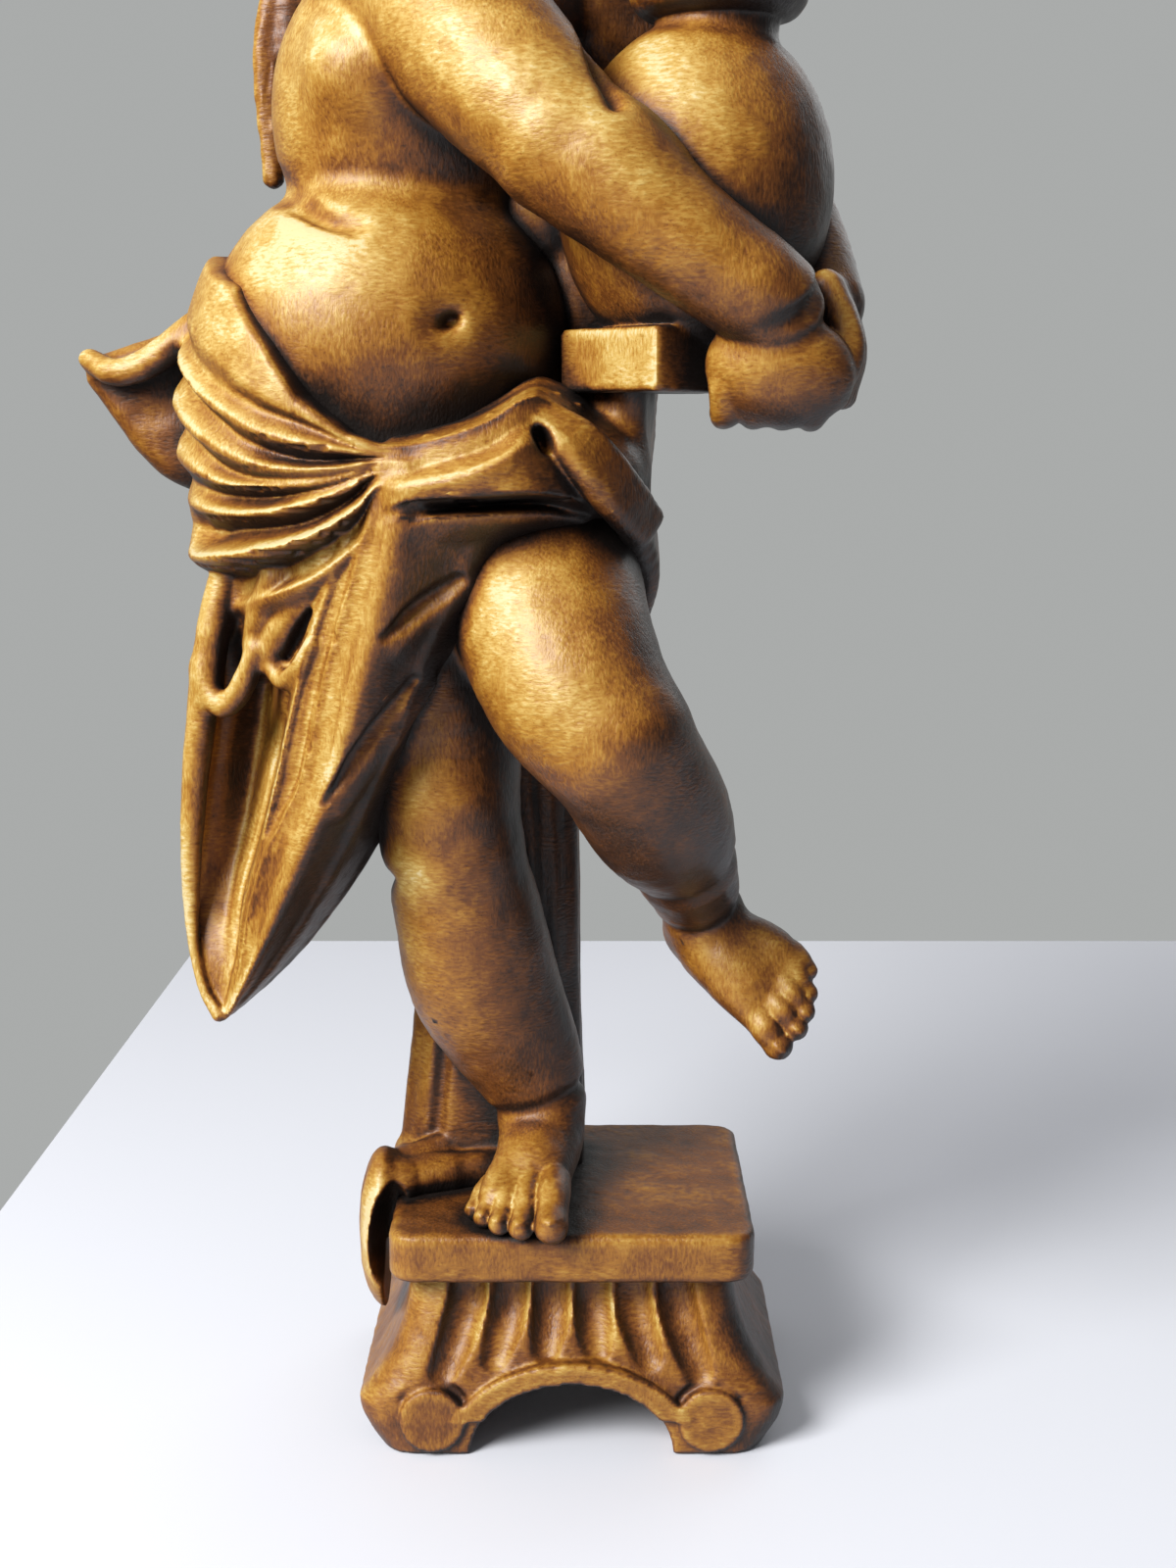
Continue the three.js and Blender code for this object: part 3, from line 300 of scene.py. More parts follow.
def surfaceNet(value, lo, step):
    # one vertex in every cell that the surface crosses, one face for every crossed grid edge
    solid = value < 0
    cells = np.array(value.shape) - 1
    corners = [(x, y, z) for x in (0, 1) for y in (0, 1) for z in (0, 1)]
    tally = np.zeros(cells, np.int8)
    for x, y, z in corners:
        tally += solid[x:cells[0] + x, y:cells[1] + y, z:cells[2] + z]
    active = (tally > 0) & (tally < 8)
    index = np.argwhere(active)
    number = np.full(cells, -1, np.int32)
    number[active] = np.arange(len(index))
    total = np.zeros((len(index), 3))
    hits = np.zeros(len(index))
    for corner in corners:
        for axis in range(3):
            if corner[axis]:
                continue
            other = np.array(corner)
            other[axis] = 1
            a = value[tuple((index + corner).T)]
            b = value[tuple((index + other).T)]
            crossed = (a < 0) != (b < 0)
            spot = np.tile(np.array(corner, float), (crossed.sum(), 1))
            spot[:, axis] = a[crossed] / (a[crossed] - b[crossed])
            total[crossed] += spot
            hits[crossed] += 1
    points = lo + step * (index + total / hits[:, None])
    quads = []
    for axis in range(3):
        u, v = (axis + 1) % 3, (axis + 2) % 3
        first = np.take(solid, range(value.shape[axis] - 1), axis)
        second = np.take(solid, range(1, value.shape[axis]), axis)
        spots = np.argwhere(first != second)
        ring = []
        for du, dv in ((-1, -1), (0, -1), (0, 0), (-1, 0)):
            cell = spots.copy()
            cell[:, u] += du
            cell[:, v] += dv
            ring.append(number[tuple(cell.T)])
        ring = np.stack(ring, 1)
        outward = first[tuple(spots.T)]
        ring[~outward] = ring[~outward][:, ::-1]
        quads.append(ring)
    return mainShell(points, np.vstack(quads))


def mainShell(points, quads):
    # keeps the largest connected shell
    label = np.arange(len(points))
    pairs = np.vstack([quads[:, [0, 1]], quads[:, [1, 2]], quads[:, [2, 3]]])
    while True:
        low = np.minimum(label[pairs[:, 0]], label[pairs[:, 1]])
        fresh = label.copy()
        np.minimum.at(fresh, pairs[:, 0], low)
        np.minimum.at(fresh, pairs[:, 1], low)
        fresh = fresh[fresh]
        if (fresh == label).all():
            break
        label = fresh
    main = np.bincount(label).argmax()
    kept = label == main
    rename = np.cumsum(kept) - 1
    return points[kept], rename[quads[kept[quads[:, 0]]]]


# Landmarks of the pose
hipRight, kneeRight, calfRight, ankleRight = [-38, -2, 208], [-28, -9, 141], [-22, 0, 107], [-8, 2, 74]
hipLeft, kneeLeft, calfLeft, ankleLeft = [-12, -6, 212], [9, -44, 172], [19.5, -27, 152], [32, 0, 121]
shoulderRight, elbowRight, wristRight = [-35, -11, 334], [-2, -47, 296], [41, -49, 262.5]
shoulderLeft, elbowLeft, wristLeft = [1, 15, 337], [40, 8, 298], [55, -22, 264]
skull = [-21, 1, 383]


def between(a, b, t):
    return [v + (w - v) * t for v, w in zip(a, b)]


def moved(a, x, y, z):
    return [a[0] + x, a[1] + y, a[2] + z]


def hoop(centre, axis, radius, tube, start=0, sweep=360, count=12):
    # stations round a limb, for the creases of a plump child
    axis = unit(axis)
    u = unit(np.cross(axis, [0.3, 1, 0.1]))
    v = np.cross(axis, u)
    turns = [math.radians(start + sweep * i / count) for i in range(count + 1)]
    return [[*(np.array(centre) + radius * (math.cos(a) * u + math.sin(a) * v)), tube] for a in turns]


# Soft child's body under the cloth
def body():
    flesh = Carving()
    flesh.add(Egg([-40, 2, 226], [42, 37, 34], 15))
    flesh.add(Egg([-40.5, -4, 258], [41, 39, 36], 20), 10)
    flesh.add(Egg([-36, 0, 306], [31, 29, 37], 22), 5)
    flesh.add(Egg([-20, 4, 330], [27, 21, 17], 30), 10)
    flesh.add(Egg([-40, -20, 313], [16, 12, 13], 20), 7)
    flesh.add(Rod([[-25, 3, 334, 16], [-23, 0, 352, 15]]), 8)
    for side in (-1, 1):
        blade = [-38 + 17 * side, 20 + 5 * side, 318]
        flesh.add(Egg(blade, [10, 7, 15], 25, 0, 12 * side), 9)
    flesh.cut(Rod([[-54, 35, 258, 2], [-48, 30, 290, 2.2], [-38, 27, 318, 2]]), 9)  # line of the spine
    # fold of flesh over the belly, with two wrinkles
    flesh.cut(Rod([[-67, -4, 292, 1.5], [-60, -22, 286, 1.5], [-52, -31, 280.5, 1.1],
                   [-45, -36, 279, 0.7]]), 4)
    flesh.cut(Rod([[-56, -25, 284.5, 0.6], [-52, -32, 284, 0.9], [-49, -34, 280, 0.5]]), 1.8)
    flesh.cut(Rod([[-60, -21, 281, 0.5], [-55, -28, 277.5, 0.8], [-50, -33, 276.5, 0.4]]), 1.8)
    flesh.cut(Rod([[-41, -27, 320, 2.2], [-41, -22, 316, 2.6]]), 5)  # armpit
    flesh.cut(Egg([-24, -45, 260], [5.5, 5, 4]), 5)  # navel
    flesh.cut(Egg([-25, -44, 259.6], [3.4, 9, 2.3], 0, 0, -25), 1.4)
    return flesh


# Five toes by root, tip and radius, each with a raised knuckle, a soft ball at its end and a nail
toe = dict(neck=0.96, knuckle=1.02, waist=0.95, gap=0.6, nail=0.62)


def toes(leg, rows, up):
    for root, tip, radius in rows:
        knuckle = moved(between(root, tip, 0.42), *(0.25 * radius * u for u in up))
        leg.add(Rod([[*root, radius * toe["neck"]], [*knuckle, radius * toe["knuckle"]],
                     [*between(root, tip, 0.74), radius * toe["waist"]], [*tip, radius]]), toe["gap"])
        ahead = unit(np.subtract(tip, root))
        yaw = math.degrees(math.atan2(ahead[1], ahead[0])) - 90
        pitch = math.degrees(math.asin(ahead[2]))
        nail = moved(tip, *(radius * (0.7 * u + 0.3 * float(a)) for u, a in zip(up, ahead)))
        leg.add(Egg(nail, [radius * toe["nail"], radius * 0.68, radius * 0.34], yaw, pitch + 14), 0)


standingToes = [
    ([-4, -21, 62], [-4.6, -37.4, 57.6], 4),
    ([-9.6, -21.5, 61.8], [-11.6, -36.2, 56.9], 3),
    ([-13.8, -20.5, 61.2], [-16.6, -33.4, 56.7], 2.8),
    ([-17.2, -18.5, 60.4], [-20.4, -29.4, 56.4], 2.6),
    ([-19.8, -15.5, 59.4], [-23, -24.6, 56.2], 2.4),
]
raisedToes = [
    ([44, -12.6, 99.6], [48.8, -14.8, 93.6], 3.6),
    ([47.6, -12, 104.2], [53, -14, 97.6], 3),
    ([50.2, -10.8, 108], [55, -12.4, 101.2], 2.8),
    ([52, -9, 111.4], [56, -10.2, 105], 2.6),
    ([53, -6.6, 114.6], [56.4, -7.6, 109.8], 2.4),
]


def standingLeg():
    leg = Carving()
    leg.add(Rod([[*hipRight, 27], [*between(hipRight, kneeRight, 0.45), 22.5],
                 [*between(hipRight, kneeRight, 0.8), 18], [*kneeRight, 16.3]]))
    leg.add(Rod([[*moved(kneeRight, 0, 1, -2), 16.2], [*between(kneeRight, calfRight, 0.55), 17.6],
                 [*calfRight, 18.2], [-17, 2, 95, 16.4], [-11.5, 3, 84, 13.8], [*ankleRight, 11.4]]), 3)
    leg.add(Egg([-29.5, -18, 153], [10.5, 8, 9]), 8)
    leg.cut(Rod(hoop([-26, -3.6, 136.5], [-0.2, 0.1, 1], 17.2, -1, -60, 140)), 8)
    leg.add(Rod([[-7, 12, 62, 8.5], [-7.5, 1, 66, 10.5], [-9, -13, 62, 8.5]]), 2.5)
    leg.cut(Rod(hoop([-8.6, 1.6, 75.5], [-0.32, 0.02, 1], 12, 0.9)), 3)
    leg.add(Rod([[-8, -6, 64, 7, 9], [-10.6, -16, 61.4, 5.2, 10.4], [-11.8, -22, 59.4, 4, 10.6]],
                [0.94, 0.34, 0]), 3)
    toes(leg, standingToes, [-0.1, -0.25, 0.96])
    return leg


def raisedLeg():
    leg = Carving()
    leg.add(Rod([[*hipLeft, 24], [-6, -20, 203, 21.8], [-3.5, -31, 193, 21.3], [2, -40, 181, 19.6],
                 [*kneeLeft, 17]]))
    leg.add(Rod([[*kneeLeft, 16.4], [14, -38, 163, 16.6], [*calfLeft, 16.4], [24.5, -16, 142, 13.6],
                 [29, -6, 130, 10.8], [*ankleLeft, 9.8]]), 3)
    leg.add(Egg([10.5, -52.5, 175], [8.5, 6.5, 7.5]), 6)
    leg.cut(Rod(hoop([26, -13.4, 139], [12, 27, -31], 14.2, -0.8)), 6)
    leg.cut(Rod(hoop([30.6, -2.6, 125.4], [3, 6, -9], 10.9, 1)), 3)
    leg.add(Rod([[31, 4, 117, 8.8], [36, -3, 113, 8.8], [41, -7, 108, 7]]), 2.5)
    leg.add(Rod([[36, -2, 115, 7, 9.6], [43, -7, 110.4, 5.4, 11.8],
                 [48.6, -9.8, 105.6, 3.8, 11.6]], [0.61, 0.29, 0.74]), 3)
    toes(leg, raisedToes, [-0.14, -0.87, 0.46])
    return leg


# The near arm crosses under the urn, the far one comes round behind it
def arms():
    arm = Carving()
    arm.add(Rod([[*shoulderRight, 20.5], [-23, -28, 320, 18.6], [-11, -41, 305.5, 16.6],
                 [*elbowRight, 14.6]]))
    arm.add(Rod([[*moved(elbowRight, 0, 0, -2), 14.2], [9, -50, 286.5, 14], [22, -52, 276, 12.2],
                 [34, -51, 267.5, 11.4], [*wristRight, 11]]), 2)
    arm.add(Egg([9.5, -51, 291.5], [12, 10.5, 9], 0, 0, 38), 6)
    arm.add(Egg([38, -53, 266], [9, 8, 7], 0, 0, 34), 5)
    arm.cut(Rod([[0, -41, 313, 0.8], [5, -50, 306, 1.4], [9, -58, 299, 0.2]]), 5)
    arm.add(Egg([43.6, -45, 249.4], [15.6, 10, 12.4], 0, 28, 10), 1.5)
    arm.cut(Rod([[28, -60, 256, 0.8], [38, -61, 255.5, 1.8], [47, -58, 260, 1.9],
                 [51, -50, 267, 1.2]]), 2.5)  # crease of the wrist
    for i in range(4):
        arm.add(Rod([[32.4 + 6 * i, -45.5, 245.5 - 0.4 * i, 3.6], [32.6 + 6 * i, -42, 240.8 - 0.2 * i, 3.3],
                     [33 + 6 * i, -32, 240.6, 3.2]]), 1.2)
    arm.add(Rod([[*shoulderLeft, 18], [23, 16, 318, 15.5], [*elbowLeft, 13.4], [49.5, -7, 280, 11.2],
                 [*wristLeft, 9]]), 2)
    for i in range(4):
        arm.add(Rod([[56.4 - i, -24 - 5 * i, 266, 4.2], [60.4 - 0.9 * i, -26 - 5.6 * i, 254.5, 3.8],
                     [58.8 - 1.2 * i, -27 - 5.6 * i, 244.5, 3.3]]), 0.7)
    return arm


# Round urn on a square foot plate, closed at the top
urn = dict(x=27, y=-22, z=287, radius=29.5, halfHeight=36, lean=8, plate=16, plateX=20, plateZ=251.8,
           rimX=31.5, rimZ=328.5, ring=13, tube=6.3, neck=13)


def vessel():
    pot = Carving()
    y = urn["y"]
    radii = [urn["radius"], urn["radius"], urn["halfHeight"]]
    pot.add(Egg([urn["x"], y, urn["z"]], radii, 0, 0, urn["lean"]))
    pot.add(Block([urn["plateX"], y, urn["plateZ"]], [urn["plate"], urn["plate"], 6.8], 1.2, 1, 40), 0.4)
    pot.add(Rod([[urn["x"], y, urn["z"], urn["neck"]], [urn["rimX"], y, urn["rimZ"] - 6, urn["neck"]]]), 2)
    wide = urn["ring"] + urn["tube"]

    def rim(px, py, pz):
        out = np.hypot(px - urn["rimX"], py - y) - urn["ring"]
        return np.hypot(out, pz - urn["rimZ"]) - urn["tube"]

    pot.add(Formula([urn["rimX"] - wide, y - wide, urn["rimZ"] - urn["tube"]],
                    [urn["rimX"] + wide, y + wide, urn["rimZ"] + urn["tube"]], rim), 0.6)
    pot.add(Egg([urn["rimX"], y, urn["rimZ"] - 1.5], [urn["ring"], urn["ring"], 5]), 1)
    pot.add(Egg([4, 2, 270], [15, 15, 27]), 2)  # wood left standing between the urn and the flank
    pot.add(Egg([-6, -4, 286], [12, 12, 14]), 2)
    return pot


# Calm round child's head with short curls
head = dict(yaw=14, eyeSide=11.3, eyeUp=-5, eyeFront=26.2, eye=5.2)


def facePoint(side, front, up):
    c, s = math.cos(math.radians(head["yaw"])), math.sin(math.radians(head["yaw"]))
    return moved(skull, side * c + front * s, side * s - front * c, up)


def childHead():
    form = Carving()
    yaw = head["yaw"]
    face = facePoint
    path = lambda rows: Rod([[*face(*row[:3]), row[3]] for row in rows])
    form.add(Egg(skull, [29.5, 33, 29], yaw))
    form.add(Egg(face(0, 8, -15), [24, 22, 20], yaw), 9)
    form.add(Egg(face(0, 20, -29), [8, 8, 6.5], yaw), 6)
    for side in (-1, 1):
        x, up, front = head["eyeSide"] * side, head["eyeUp"], head["eyeFront"]
        form.add(Egg(face(13 * side, 19, -17), [10.5, 9, 10], yaw), 6)
        form.cut(Egg(face(x, 33.5, up + 0.6), [7.5, 6, 4.8], yaw), 5)
        form.add(Egg(face(x, front, up), [head["eye"] + 0.6, 5, 4.4], yaw), 0.6)
        form.add(path([(x - 5.4 * side, front + 3.6, up - 0.4, 0.7), (x, front + 4.8, up + 2.5, 1.1),
                       (x + 5.8 * side, front + 1.2, up - 0.2, 0.7)]), 0.8)
        form.add(path([(x - 5, front + 3.6, up - 1.6, 0.6), (x, front + 4.2, up - 3.3, 0.9),
                       (x + 5.4 * side, front + 1, up - 1.2, 0.6)]), 1)
        form.add(path([(5 * side, 31.5, 1.8, 2), (12 * side, 30.6, 3.4, 2),
                       (18 * side, 25.5, 0.6, 1.6)]), 4)
        form.add(Egg(face(29.5 * side, 0, -9), [3.4, 6.2, 8.6], yaw), 1.5)
        form.cut(Egg(face(32.5 * side, 1, -8.5), [2, 3.6, 5.4], yaw), 1.5)
        form.add(Egg(face(3.5 * side, 32, -12.8), [2.2, 2.6, 1.9], yaw), 1.5)
        form.cut(Egg(face(2.6 * side, 35, -15), [0.9, 1.8, 0.8], yaw), 0.8)
    form.add(path([(0, 30.5, 0, 2.6), (0, 33.2, -8, 2.8), (0, 35.2, -12.3, 3.3)]), 4)
    form.add(path([(-6.5, 27.8, -21.6, 1.2), (-2.5, 30.8, -20, 1.8), (0, 31.3, -20.6, 1.7),
                   (2.5, 30.8, -20, 1.8), (6.5, 27.8, -21.6, 1.2)]), 1.6)
    form.add(path([(-5, 28, -24.4, 1.5), (0, 30.2, -25, 2.4), (5, 28, -24.4, 1.5)]), 1.8)
    form.cut(path([(-7.6, 29.2, -22.4, 0.6), (0, 33.6, -22.7, 0.7), (7.6, 29.2, -22.4, 0.6)]), 0.8)
    curls(form, face)
    return form


# Curls in rings round the skull: height, radius, number, size and the angle left bare for the face, if any
curlRows = [
    (24, 19, 8, 8.2, None),
    (13, 28.5, 13, 8, None),
    (-1, 30.5, 12, 7.6, 60),
    (-13, 28.5, 10, 7.2, 78),
    (-23, 22, 7, 6.8, 92),
]


def curls(form, face):
    form.add(Egg(face(0, -4, 6), [30.5, 31, 28.5], head["yaw"]), 1.5)
    for row, (up, radius, count, size, bare) in enumerate(curlRows):
        for i in range(count):
            turn = 360 * (i + 0.5 * (row % 2)) / count
            if bare:
                turn = bare + (360 - 2 * bare) * i / (count - 1)
            s, c = math.sin(math.radians(turn)), math.cos(math.radians(turn))
            middle = face(0, 0, up * 0.3)
            place = face(radius * s, radius * 1.08 * c - 2, up)
            grow = size * (1 + 0.1 * math.sin(7.1 * i + 3 * row))
            form.add(Curl(place, grow, np.subtract(place, middle), 1 if (i + row) % 2 else -1), 0.5)
    form.add(Curl(face(0, 2, 31), 8, [0, 0, 1]), 0.5)


# Folds: a surface drawn smoothly between ordered lines.
# Each line gives, at stations along it, where it lies across the cloth and how proud it stands there
class Folds:
    probe = 0.4
    least = 0.3
    ways = ((probe, 0), (0, probe))

    def __init__(self, lines, steps=4):
        self.lines = [smoothPath(line, steps).T for line in lines]

    def proud(self, along, across):
        held = [(np.interp(along, at, spot), np.interp(along, at, rise)) for at, spot, rise in self.lines]
        value = held[0][1]
        for (spotA, riseA), (spotB, riseB) in zip(held, held[1:]):
            t = np.clip((across - spotA) / np.maximum(spotB - spotA, self.least), 0, 1)
            value = value + (riseB - riseA) * t * t * (3 - 2 * t)
        return value

    def above(self, along, across, depth):
        # distance of points at a depth off the surface, eased by its slope
        here = self.proud(along, across)
        slopes = [(self.proud(along + i, across + j) - here) / self.probe for i, j in self.ways]
        return (depth - here) / np.sqrt(1 + slopes[0]**2 + slopes[1]**2)


# Hip cloth: an egg with folds by angle from the front, height and rise, from the hem up to the top edge
wrap = dict(centre=[-41, -1, 240], radii=[47, 46, 60], turn=18, far=9)
wrapTop = [(-180, 266), (-125, 275), (-95, 275), (-63, 267), (-48, 255), (-38, 244), (-25, 236.5),
           (-11, 233), (30, 234), (90, 250), (180, 266)]
wrapLines = [
    [(-180, 184, 0), (-96, 186, 0), (-50, 190, 0), (-13, 214, 0)],
    [(-180, 194, 0), (-105, 196, 4), (-70, 198, 5), (-50, 202, 5), (-36, 206, 4), (-23, 213, 3),
     (-13, 222, 1)],
    [(-180, 200, 0), (-130, 203, 1.5), (-105, 201, 2.4), (-70, 204, -1), (-50, 207, -2.5),
     (-34, 211.5, -2.5), (-22, 218, -2), (-13, 225, 0)],
    [(-180, 206, 2), (-130, 212, 4), (-112, 211, 5.6), (-96, 208.5, 6.6), (-70, 209.6, 7.2),
     (-50, 212, 6.8), (-34, 216, 5.6), (-22, 222, 4.2), (-13, 227.4, 2.4)],
    [(-180, 213, 0.4), (-130, 219, 1.4), (-102, 217, 3), (-84, 214.5, -1.8), (-68, 215.6, -2),
     (-45, 217, -1.6), (-33, 219.6, -1.6), (-24, 223.2, -1.2), (-13, 228.4, 0)],
    [(-180, 219, 2), (-130, 224, 2.2), (-95, 221, 2.4), (-65, 219.6, 2.6), (-50, 220.4, 2.8),
     (-38, 222, 2.6), (-25, 225.3, 2.2), (-13, 229, 1.4)],
    [(-180, 224, 0.2), (-130, 229, 0), (-95, 226, 0), (-75, 223.6, -1.2), (-66, 222.8, -2.4),
     (-50, 223, -2.6), (-40, 224, -1), (-30, 225.4, 0.4), (-13, 229.4, 0.6)],
    [(-180, 229, 2), (-130, 235, 2.4), (-95, 231.5, 2.6), (-65, 226.2, 2), (-50, 225.4, 1.6),
     (-36, 226.2, 1.4), (-26, 227, 1.4), (-13, 229.8, 1)],
    [(-180, 235, 0.2), (-130, 241, 0), (-90, 237, -0.4), (-66, 229.2, -1), (-54, 227, -0.6),
     (-44, 226.8, 0.4), (-30, 227.4, 0.8), (-13, 230.2, 0.6)],
    [(-180, 240, 2), (-130, 247, 2.6), (-95, 243.5, 2.8), (-65, 234.8, 2.8), (-52, 230.6, 2.4),
     (-40, 227.9, 2.2), (-26, 228.8, 1.8), (-13, 230.6, 1)],
    [(-180, 247, 0.2), (-130, 254, 0), (-96, 250, -0.2), (-68, 240.4, -0.6), (-55, 235, -0.2),
     (-46, 232, -2), (-34, 230.6, -2.4), (-22, 231.2, -1.2), (-13, 231.4, 0.4)],
    [(-180, 252, 1.6), (-130, 259, 2.2), (-95, 253.5, 2.4), (-65, 243.2, 2.2), (-50, 238.4, 2.4),
     (-38, 235, 2.6), (-26, 232.4, 2), (-13, 232, 1.2)],
    [(-180, 258, 0.3), (-130, 264, 0.2), (-96, 257, 0), (-65, 246.4, -0.2), (-49, 241.2, -0.4),
     (-36, 238, -0.6), (-20, 233, 0.4), (-11, 232.6, 0.8)],
    [(-180, 262, 1), (-125, 269, 1.8), (-96, 263, 2), (-65, 253, 2), (-49, 245, 1.8),
     (-36, 240, 1.2), (-20, 234.4, 1), (-11, 233, 1)],
]


foldLean, valleyDepth = 0.47, 1.2


def leaning(lines):
    # every fold's crest, an odd line, hangs nearer the valley under it
    hung = list(lines)
    for i in range(3, len(lines) - 1, 2):
        (lowAt, low, rise), (highAt, high, rise) = zip(*lines[i - 1]), zip(*lines[i + 1])
        hung[i] = [(a, np.interp(a, lowAt, low) * (1 - foldLean) + np.interp(a, highAt, high) * foldLean, r)
                   for a, h, r in lines[i]]
    return hung


def deepened(lines):
    # the low stretches of every valley are cut deeper
    return [[(a, h, r * valleyDepth if r < 0 else r) for a, h, r in line] for line in lines]


def closedLine(line):
    # carried on plain round the hidden side, back to where it began
    return line + [(20, line[-1][1], 0), (60, line[-1][1], 0), (180, *line[0][1:])]


def onWrap(azimuth, height, lift):
    cx, cy, cz = wrap["centre"]
    shrink = math.sqrt(max(0.05, 1 - ((height - cz) / wrap["radii"][2])**2))
    a, t = math.radians(azimuth), math.radians(wrap["turn"])
    u = (wrap["radii"][0] * shrink + lift) * math.sin(a)
    v = -(wrap["radii"][1] * shrink + lift) * math.cos(a)
    return [cx + u * math.cos(t) - v * math.sin(t), cy + u * math.sin(t) + v * math.cos(t), height]


def wrapAngle(x, y):
    cx, cy, cz = wrap["centre"]
    t = math.radians(wrap["turn"])
    u = (x - cx) * math.cos(t) + (y - cy) * math.sin(t)
    v = (y - cy) * math.cos(t) - (x - cx) * math.sin(t)
    return np.degrees(np.arctan2(u, -v))


def hipCloth():
    cloth = Carving()
    egg = Egg(wrap["centre"], wrap["radii"], wrap["turn"])
    folds = Folds([closedLine(line) for line in deepened(leaning(wrapLines))])
    angles, heights = zip(*wrapTop)

    def wrapped(x, y, z):
        azimuth = wrapAngle(x, y)
        points = np.stack([x, y, z], 1)
        bulk = egg.at(points, None, None) - folds.proud(azimuth, z)
        over = 0.72 * (z - np.interp(azimuth, angles, heights))
        return -softMin(-0.8 * bulk, -over, 1.2)

    cloth.add(Formula(egg.lo - wrap["far"], egg.hi + wrap["far"], wrapped))
    cloth.cut(Egg(onWrap(-88, 216, 3), [3.4, 3, 3], -60), 1.5)  # hollow at the back of the slack pouch
    cloth.add(Egg([-6, -15, 228], [23, 27, 15], 10), 4)
    cloth.add(Egg([7, -6, 241], [10, 13, 9]), 3)
    tent(cloth)
    # strip and corner of cloth hanging behind the lifted thigh
    cloth.add(Rod([[13, -22, 219, 4.4, 9], [16.5, -11, 208, 3.6, 9.5], [15, -5, 197, 3, 7.5]],
                  [0, 0.85, 0.53]), 3)
    cloth.add(Rod([[14.6, -4, 252, 4.6, 24], [13.6, 0, 226, 4, 19], [11.6, 3, 209, 3.4, 13],
                   [9, 6, 197, 2.4, 5]], [0.1, 1, 0.1], 9), 5)
    return cloth


# Cloth carried over the lifted thigh to a peak: lines by x, height and how far forward, from the slot up
tentLines = [
    [(-44, 210, 44), (-38, 210, 47), (-22, 210, 41), (-10, 210, 32), (4, 210, 22)],
    [(-44, 217, 45), (-38, 218, 48.6), (-30, 219.2, 49.4), (-18, 219.8, 47.6), (-6, 220, 43),
     (4, 218, 34)],
    [(-44, 219, 45), (-38, 219.8, 47.6), (-34, 220.4, 45), (-18, 221.4, 41), (-6, 221.8, 38),
     (4, 219.6, 33)],
    [(-44, 221, 45), (-38, 221.6, 49.4), (-33, 222.8, 52), (-18, 224, 54), (-6, 224.4, 51),
     (4, 222, 38)],
    [(-44, 225, 44), (-38, 225, 50), (-33, 225.6, 52.4), (-24, 227, 54.4), (-16, 229.4, 54.6),
     (-10, 232.6, 52.4), (-4, 234, 46), (4, 232, 36)],
    [(-44, 230, 42), (-38, 229.6, 47), (-33, 229.6, 48), (-24, 231.8, 49.6), (-16, 234.8, 49),
     (-8, 239.6, 45.4), (4, 236, 34)],
    [(-44, 234, 41), (-38, 233.4, 46.4), (-33, 233.8, 47.8), (-24, 236, 49), (-16, 239.2, 48.2),
     (-7, 243.8, 44.4), (4, 239, 33)],
    [(-44, 238, 28), (-38, 237.6, 30), (-24, 240, 32), (-16, 243, 32), (-7, 247.6, 30),
     (4, 243, 22)],
    [(-44, 241, 0), (-24, 243, 0), (-16, 246, 0), (-7, 250.6, 0), (4, 246, 0)],
]
tentEnds = dict(left=-39, right=4, low=210, back=-18)


def tent(cloth):
    folds = Folds(tentLines)
    left, right, low, back = tentEnds.values()

    def rule(x, y, z):
        ends = np.maximum(left - x, x - right)
        return -softMin(-folds.above(x, z, -y), -np.maximum.reduce([ends, y - back, low - z]), 2)

    cloth.add(Formula([left, -58, low], [right, back, 251], rule), 1.5)
    cloth.add(Rod([[-8, -41.5, 240.8, 2.8, 4.4], [2, -42, 233.5, 3.4, 6.4], [10, -37, 224, 3.4, 6.8],
                   [16, -28, 216.5, 3, 6]], [0.47, 0.63, 0.62]), 1)
    cloth.cut(Egg([-5.2, -48, 235.2], [1.9, 8, 3.6], 12, -8, -24), 0.8)
    cloth.cut(Rod([[-32.6, -50, 220.6, 2.4], [-27, -51.6, 221.3, 1.9], [-18, -52.6, 222.2, 1.1],
                   [-8, -50, 222.6, 0.5]]), 0.6)


